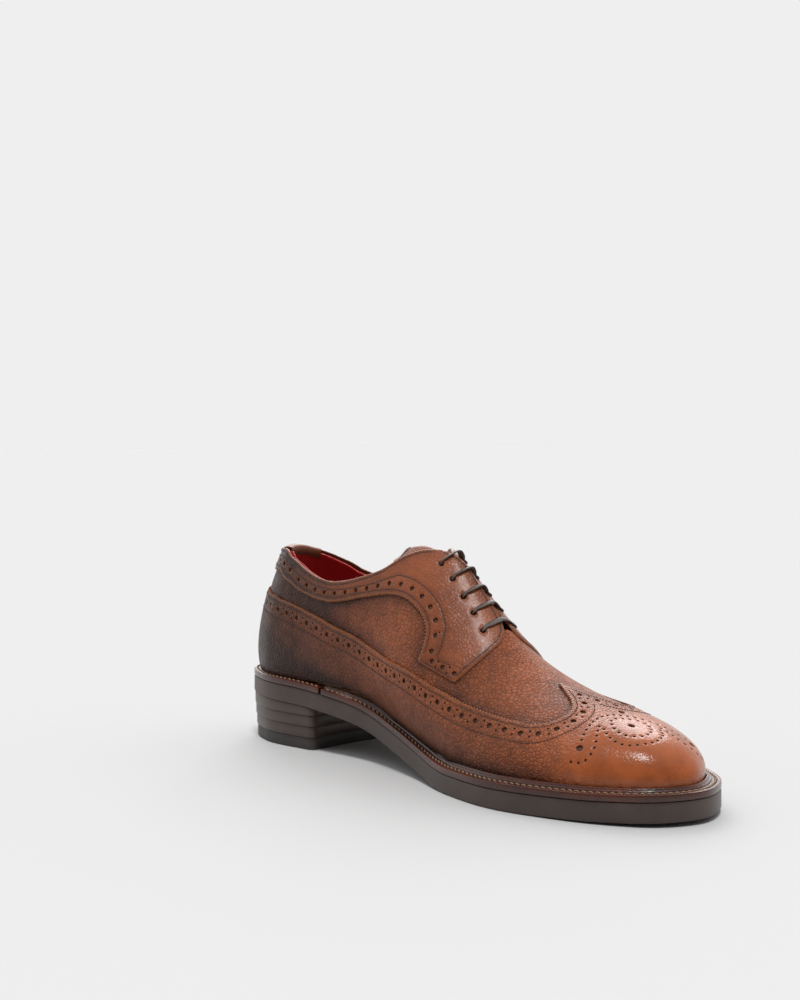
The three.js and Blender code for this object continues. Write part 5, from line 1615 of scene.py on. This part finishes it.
def heel_nails():
    """Heads of the nails that hold the top piece, let into its underside."""
    places = resample(inset(heel_plan(1.9, 68.5), 7.5), 13)
    n = 16
    a = 2 * math.pi * np.arange(n) / n
    verts, faces = [], []
    for x, l in places:
        s = len(verts)
        for r, z in ((1.5, .25), (1.5, .06), (1.25, .02), (.6, .015)):
            verts += [(x + r * math.cos(k), l + r * math.sin(k), z) for k in a]
        verts += [(x, l, .015), (x, l, .25)]
        rings = [range(s + j * n, s + (j + 1) * n) for j in range(4)]
        for upper, lower in zip(rings, rings[1:]):
            faces += bridge(upper, lower)
        faces += [(rings[3][k], rings[3][(k + 1) % n], s + 4 * n) for k in range(n)]
        faces += [(rings[0][(k + 1) % n], rings[0][k], s + 4 * n + 1) for k in range(n)]
    finish_piece(mesh_object("heel_nails", verts, faces), STEEL, "shank_steel")


heel_nails()


def sock():
    plan = resample(inset(OUT, margin(OUT[:, 1]) + UPPER + 1), 400)
    profile = [(5, .2, "low"), (.3, .2, "low"), (0, .5, "low"), (.3, .95, "high"), (1.2, 1.0, "high"),
               (5, .9, "high")]

    def marks(v):
        return {"dark": np.zeros(len(v)), "cut": np.zeros(len(v))}
    plate("sock_liner_leather", ["sock_liner"], plan, profile, SOCK_LEATHER, "sock_leather",
          low=lambda p: floor(p[:, 1]), step=5.0, marks=marks)


sock()

# ---------------------------------------------------------------- CAD pieces that stay, with better materials
KEPT = {"insole": TAN_LEATHER, "cork_filler": CORK, "shank": STEEL, "toe_puff": BOARD,
        "heel_counter": BOARD, "side_lining": TAN_LEATHER, "aglet": LACE, "eyelet": BRASS}
for node_name, node in frame["nodes"].items():
    for start, material in KEPT.items():
        if node_name == start or node_name.startswith(start + "_"):
            node.data.materials.clear()
            node.data.materials.append(material)

# ---------------------------------------------------------------- camera, floor and light


TURN, TILT = math.radians(-42.12), math.radians(2.74)
AIM = (0, -60, 40)                      # the camera looks past this place, which is
AWAY, RIGHT, UP = 764.09, -76.55, 97.48     # so far in front of it, to its right and below it


def camera():
    """The shoe stands right of the middle of the picture and below it."""
    data = bpy.data.cameras.new("camera")
    data.sensor_fit = "HORIZONTAL"
    data.sensor_width = 36.0
    data.lens = 71.72
    data.clip_start = .01
    obj = bpy.data.objects.new("camera", data)
    right = Vector((math.cos(TURN), math.sin(TURN), 0))
    forward = Vector((-math.sin(TURN) * math.cos(TILT), math.cos(TURN) * math.cos(TILT), -math.sin(TILT)))
    up = right.cross(forward)
    at = (Vector(AIM) - forward * AWAY + right * RIGHT + up * UP) * MM
    obj.matrix_world = Matrix(((right.x, up.x, -forward.x, at[0]), (right.y, up.y, -forward.y, at[1]),
                               (right.z, up.z, -forward.z, at[2]), (0, 0, 0, 1)))
    bpy.context.scene.collection.objects.link(obj)
    bpy.context.scene.camera = obj


camera()


PAPER = .863           # brightness of the paper behind and under the shoe
DIM = .10              # brightness of the room behind the camera
# from, spread, power
LAMPS = [((-.203, -.270, .941), math.radians(12), 1.45), ((.55, .61, .57), math.radians(40), 1.3)]
BRIGHT = np.array((.50, .55, .67))    # the bright side of the room: above and behind the shoe
DARK_END, BRIGHT_END = -.25, .5       # the room brightens from DIM to PAPER between these, along BRIGHT


def studio():
    """A white sweep: the floor and the bright half of the room have one brightness."""
    plane_mesh = bpy.data.meshes.new("studio_floor")
    s = 9.0
    plane_mesh.from_pydata([(-s, -s, 0), (s, -s, 0), (s, s, 0), (-s, s, 0)], [], [(0, 1, 2, 3)])
    obj = bpy.data.objects.new("studio_floor", plane_mesh)
    bpy.context.scene.collection.objects.link(obj)
    # light that reaches the open floor: the room, averaged over the upper half, and the lamps
    u = (np.arange(60) + .5) / 60
    z, turn_z = np.meshgrid(np.sqrt(u), 2 * math.pi * u)
    flat_part = np.sqrt(1 - z * z)
    towards = flat_part * (np.cos(turn_z) * BRIGHT[0] + np.sin(turn_z) * BRIGHT[1]) + z * BRIGHT[2]
    share = np.clip((towards - DARK_END) / (BRIGHT_END - DARK_END), 0, 1)
    room = (DIM + (PAPER - DIM) * share).mean()
    reach = room + sum(power * at[2] for at, _, power in LAMPS) / math.pi
    m = Look("pale_floor")
    m.set(Base_Color=(*[PAPER / reach] * 3, 1), Roughness=1.0, Specular_IOR_Level=0)
    plane_mesh.materials.append(m.material)
    world_ = bpy.data.worlds.new("studio")
    world_.use_nodes = True
    tree = world_.node_tree
    where = tree.nodes.new("ShaderNodeTexCoord").outputs["Generated"]
    along = tree.nodes.new("ShaderNodeVectorMath")
    along.operation = "DOT_PRODUCT"
    along.inputs[1].default_value = BRIGHT
    tree.links.new(where, along.inputs[0])
    level = tree.nodes.new("ShaderNodeMapRange")
    for k, v in ((1, DARK_END), (2, BRIGHT_END), (3, DIM), (4, PAPER)):
        level.inputs[k].default_value = v
    tree.links.new(along.outputs["Value"], level.inputs[0])
    tree.links.new(level.outputs[0], tree.nodes["Background"].inputs["Strength"])
    tree.nodes["Background"].inputs["Color"].default_value = (1, 1, 1, 1)
    bpy.context.scene.world = world_
    for k, (at, spread, power) in enumerate(LAMPS):
        data = bpy.data.lights.new(f"lamp_{k}", "SUN")
        data.energy = power
        data.angle = spread
        lamp = bpy.data.objects.new(f"lamp_{k}", data)
        lamp.rotation_euler = Vector(at).to_track_quat("Z", "Y").to_euler()
        bpy.context.scene.collection.objects.link(lamp)


studio()
bpy.context.scene.view_settings.view_transform = "Standard"
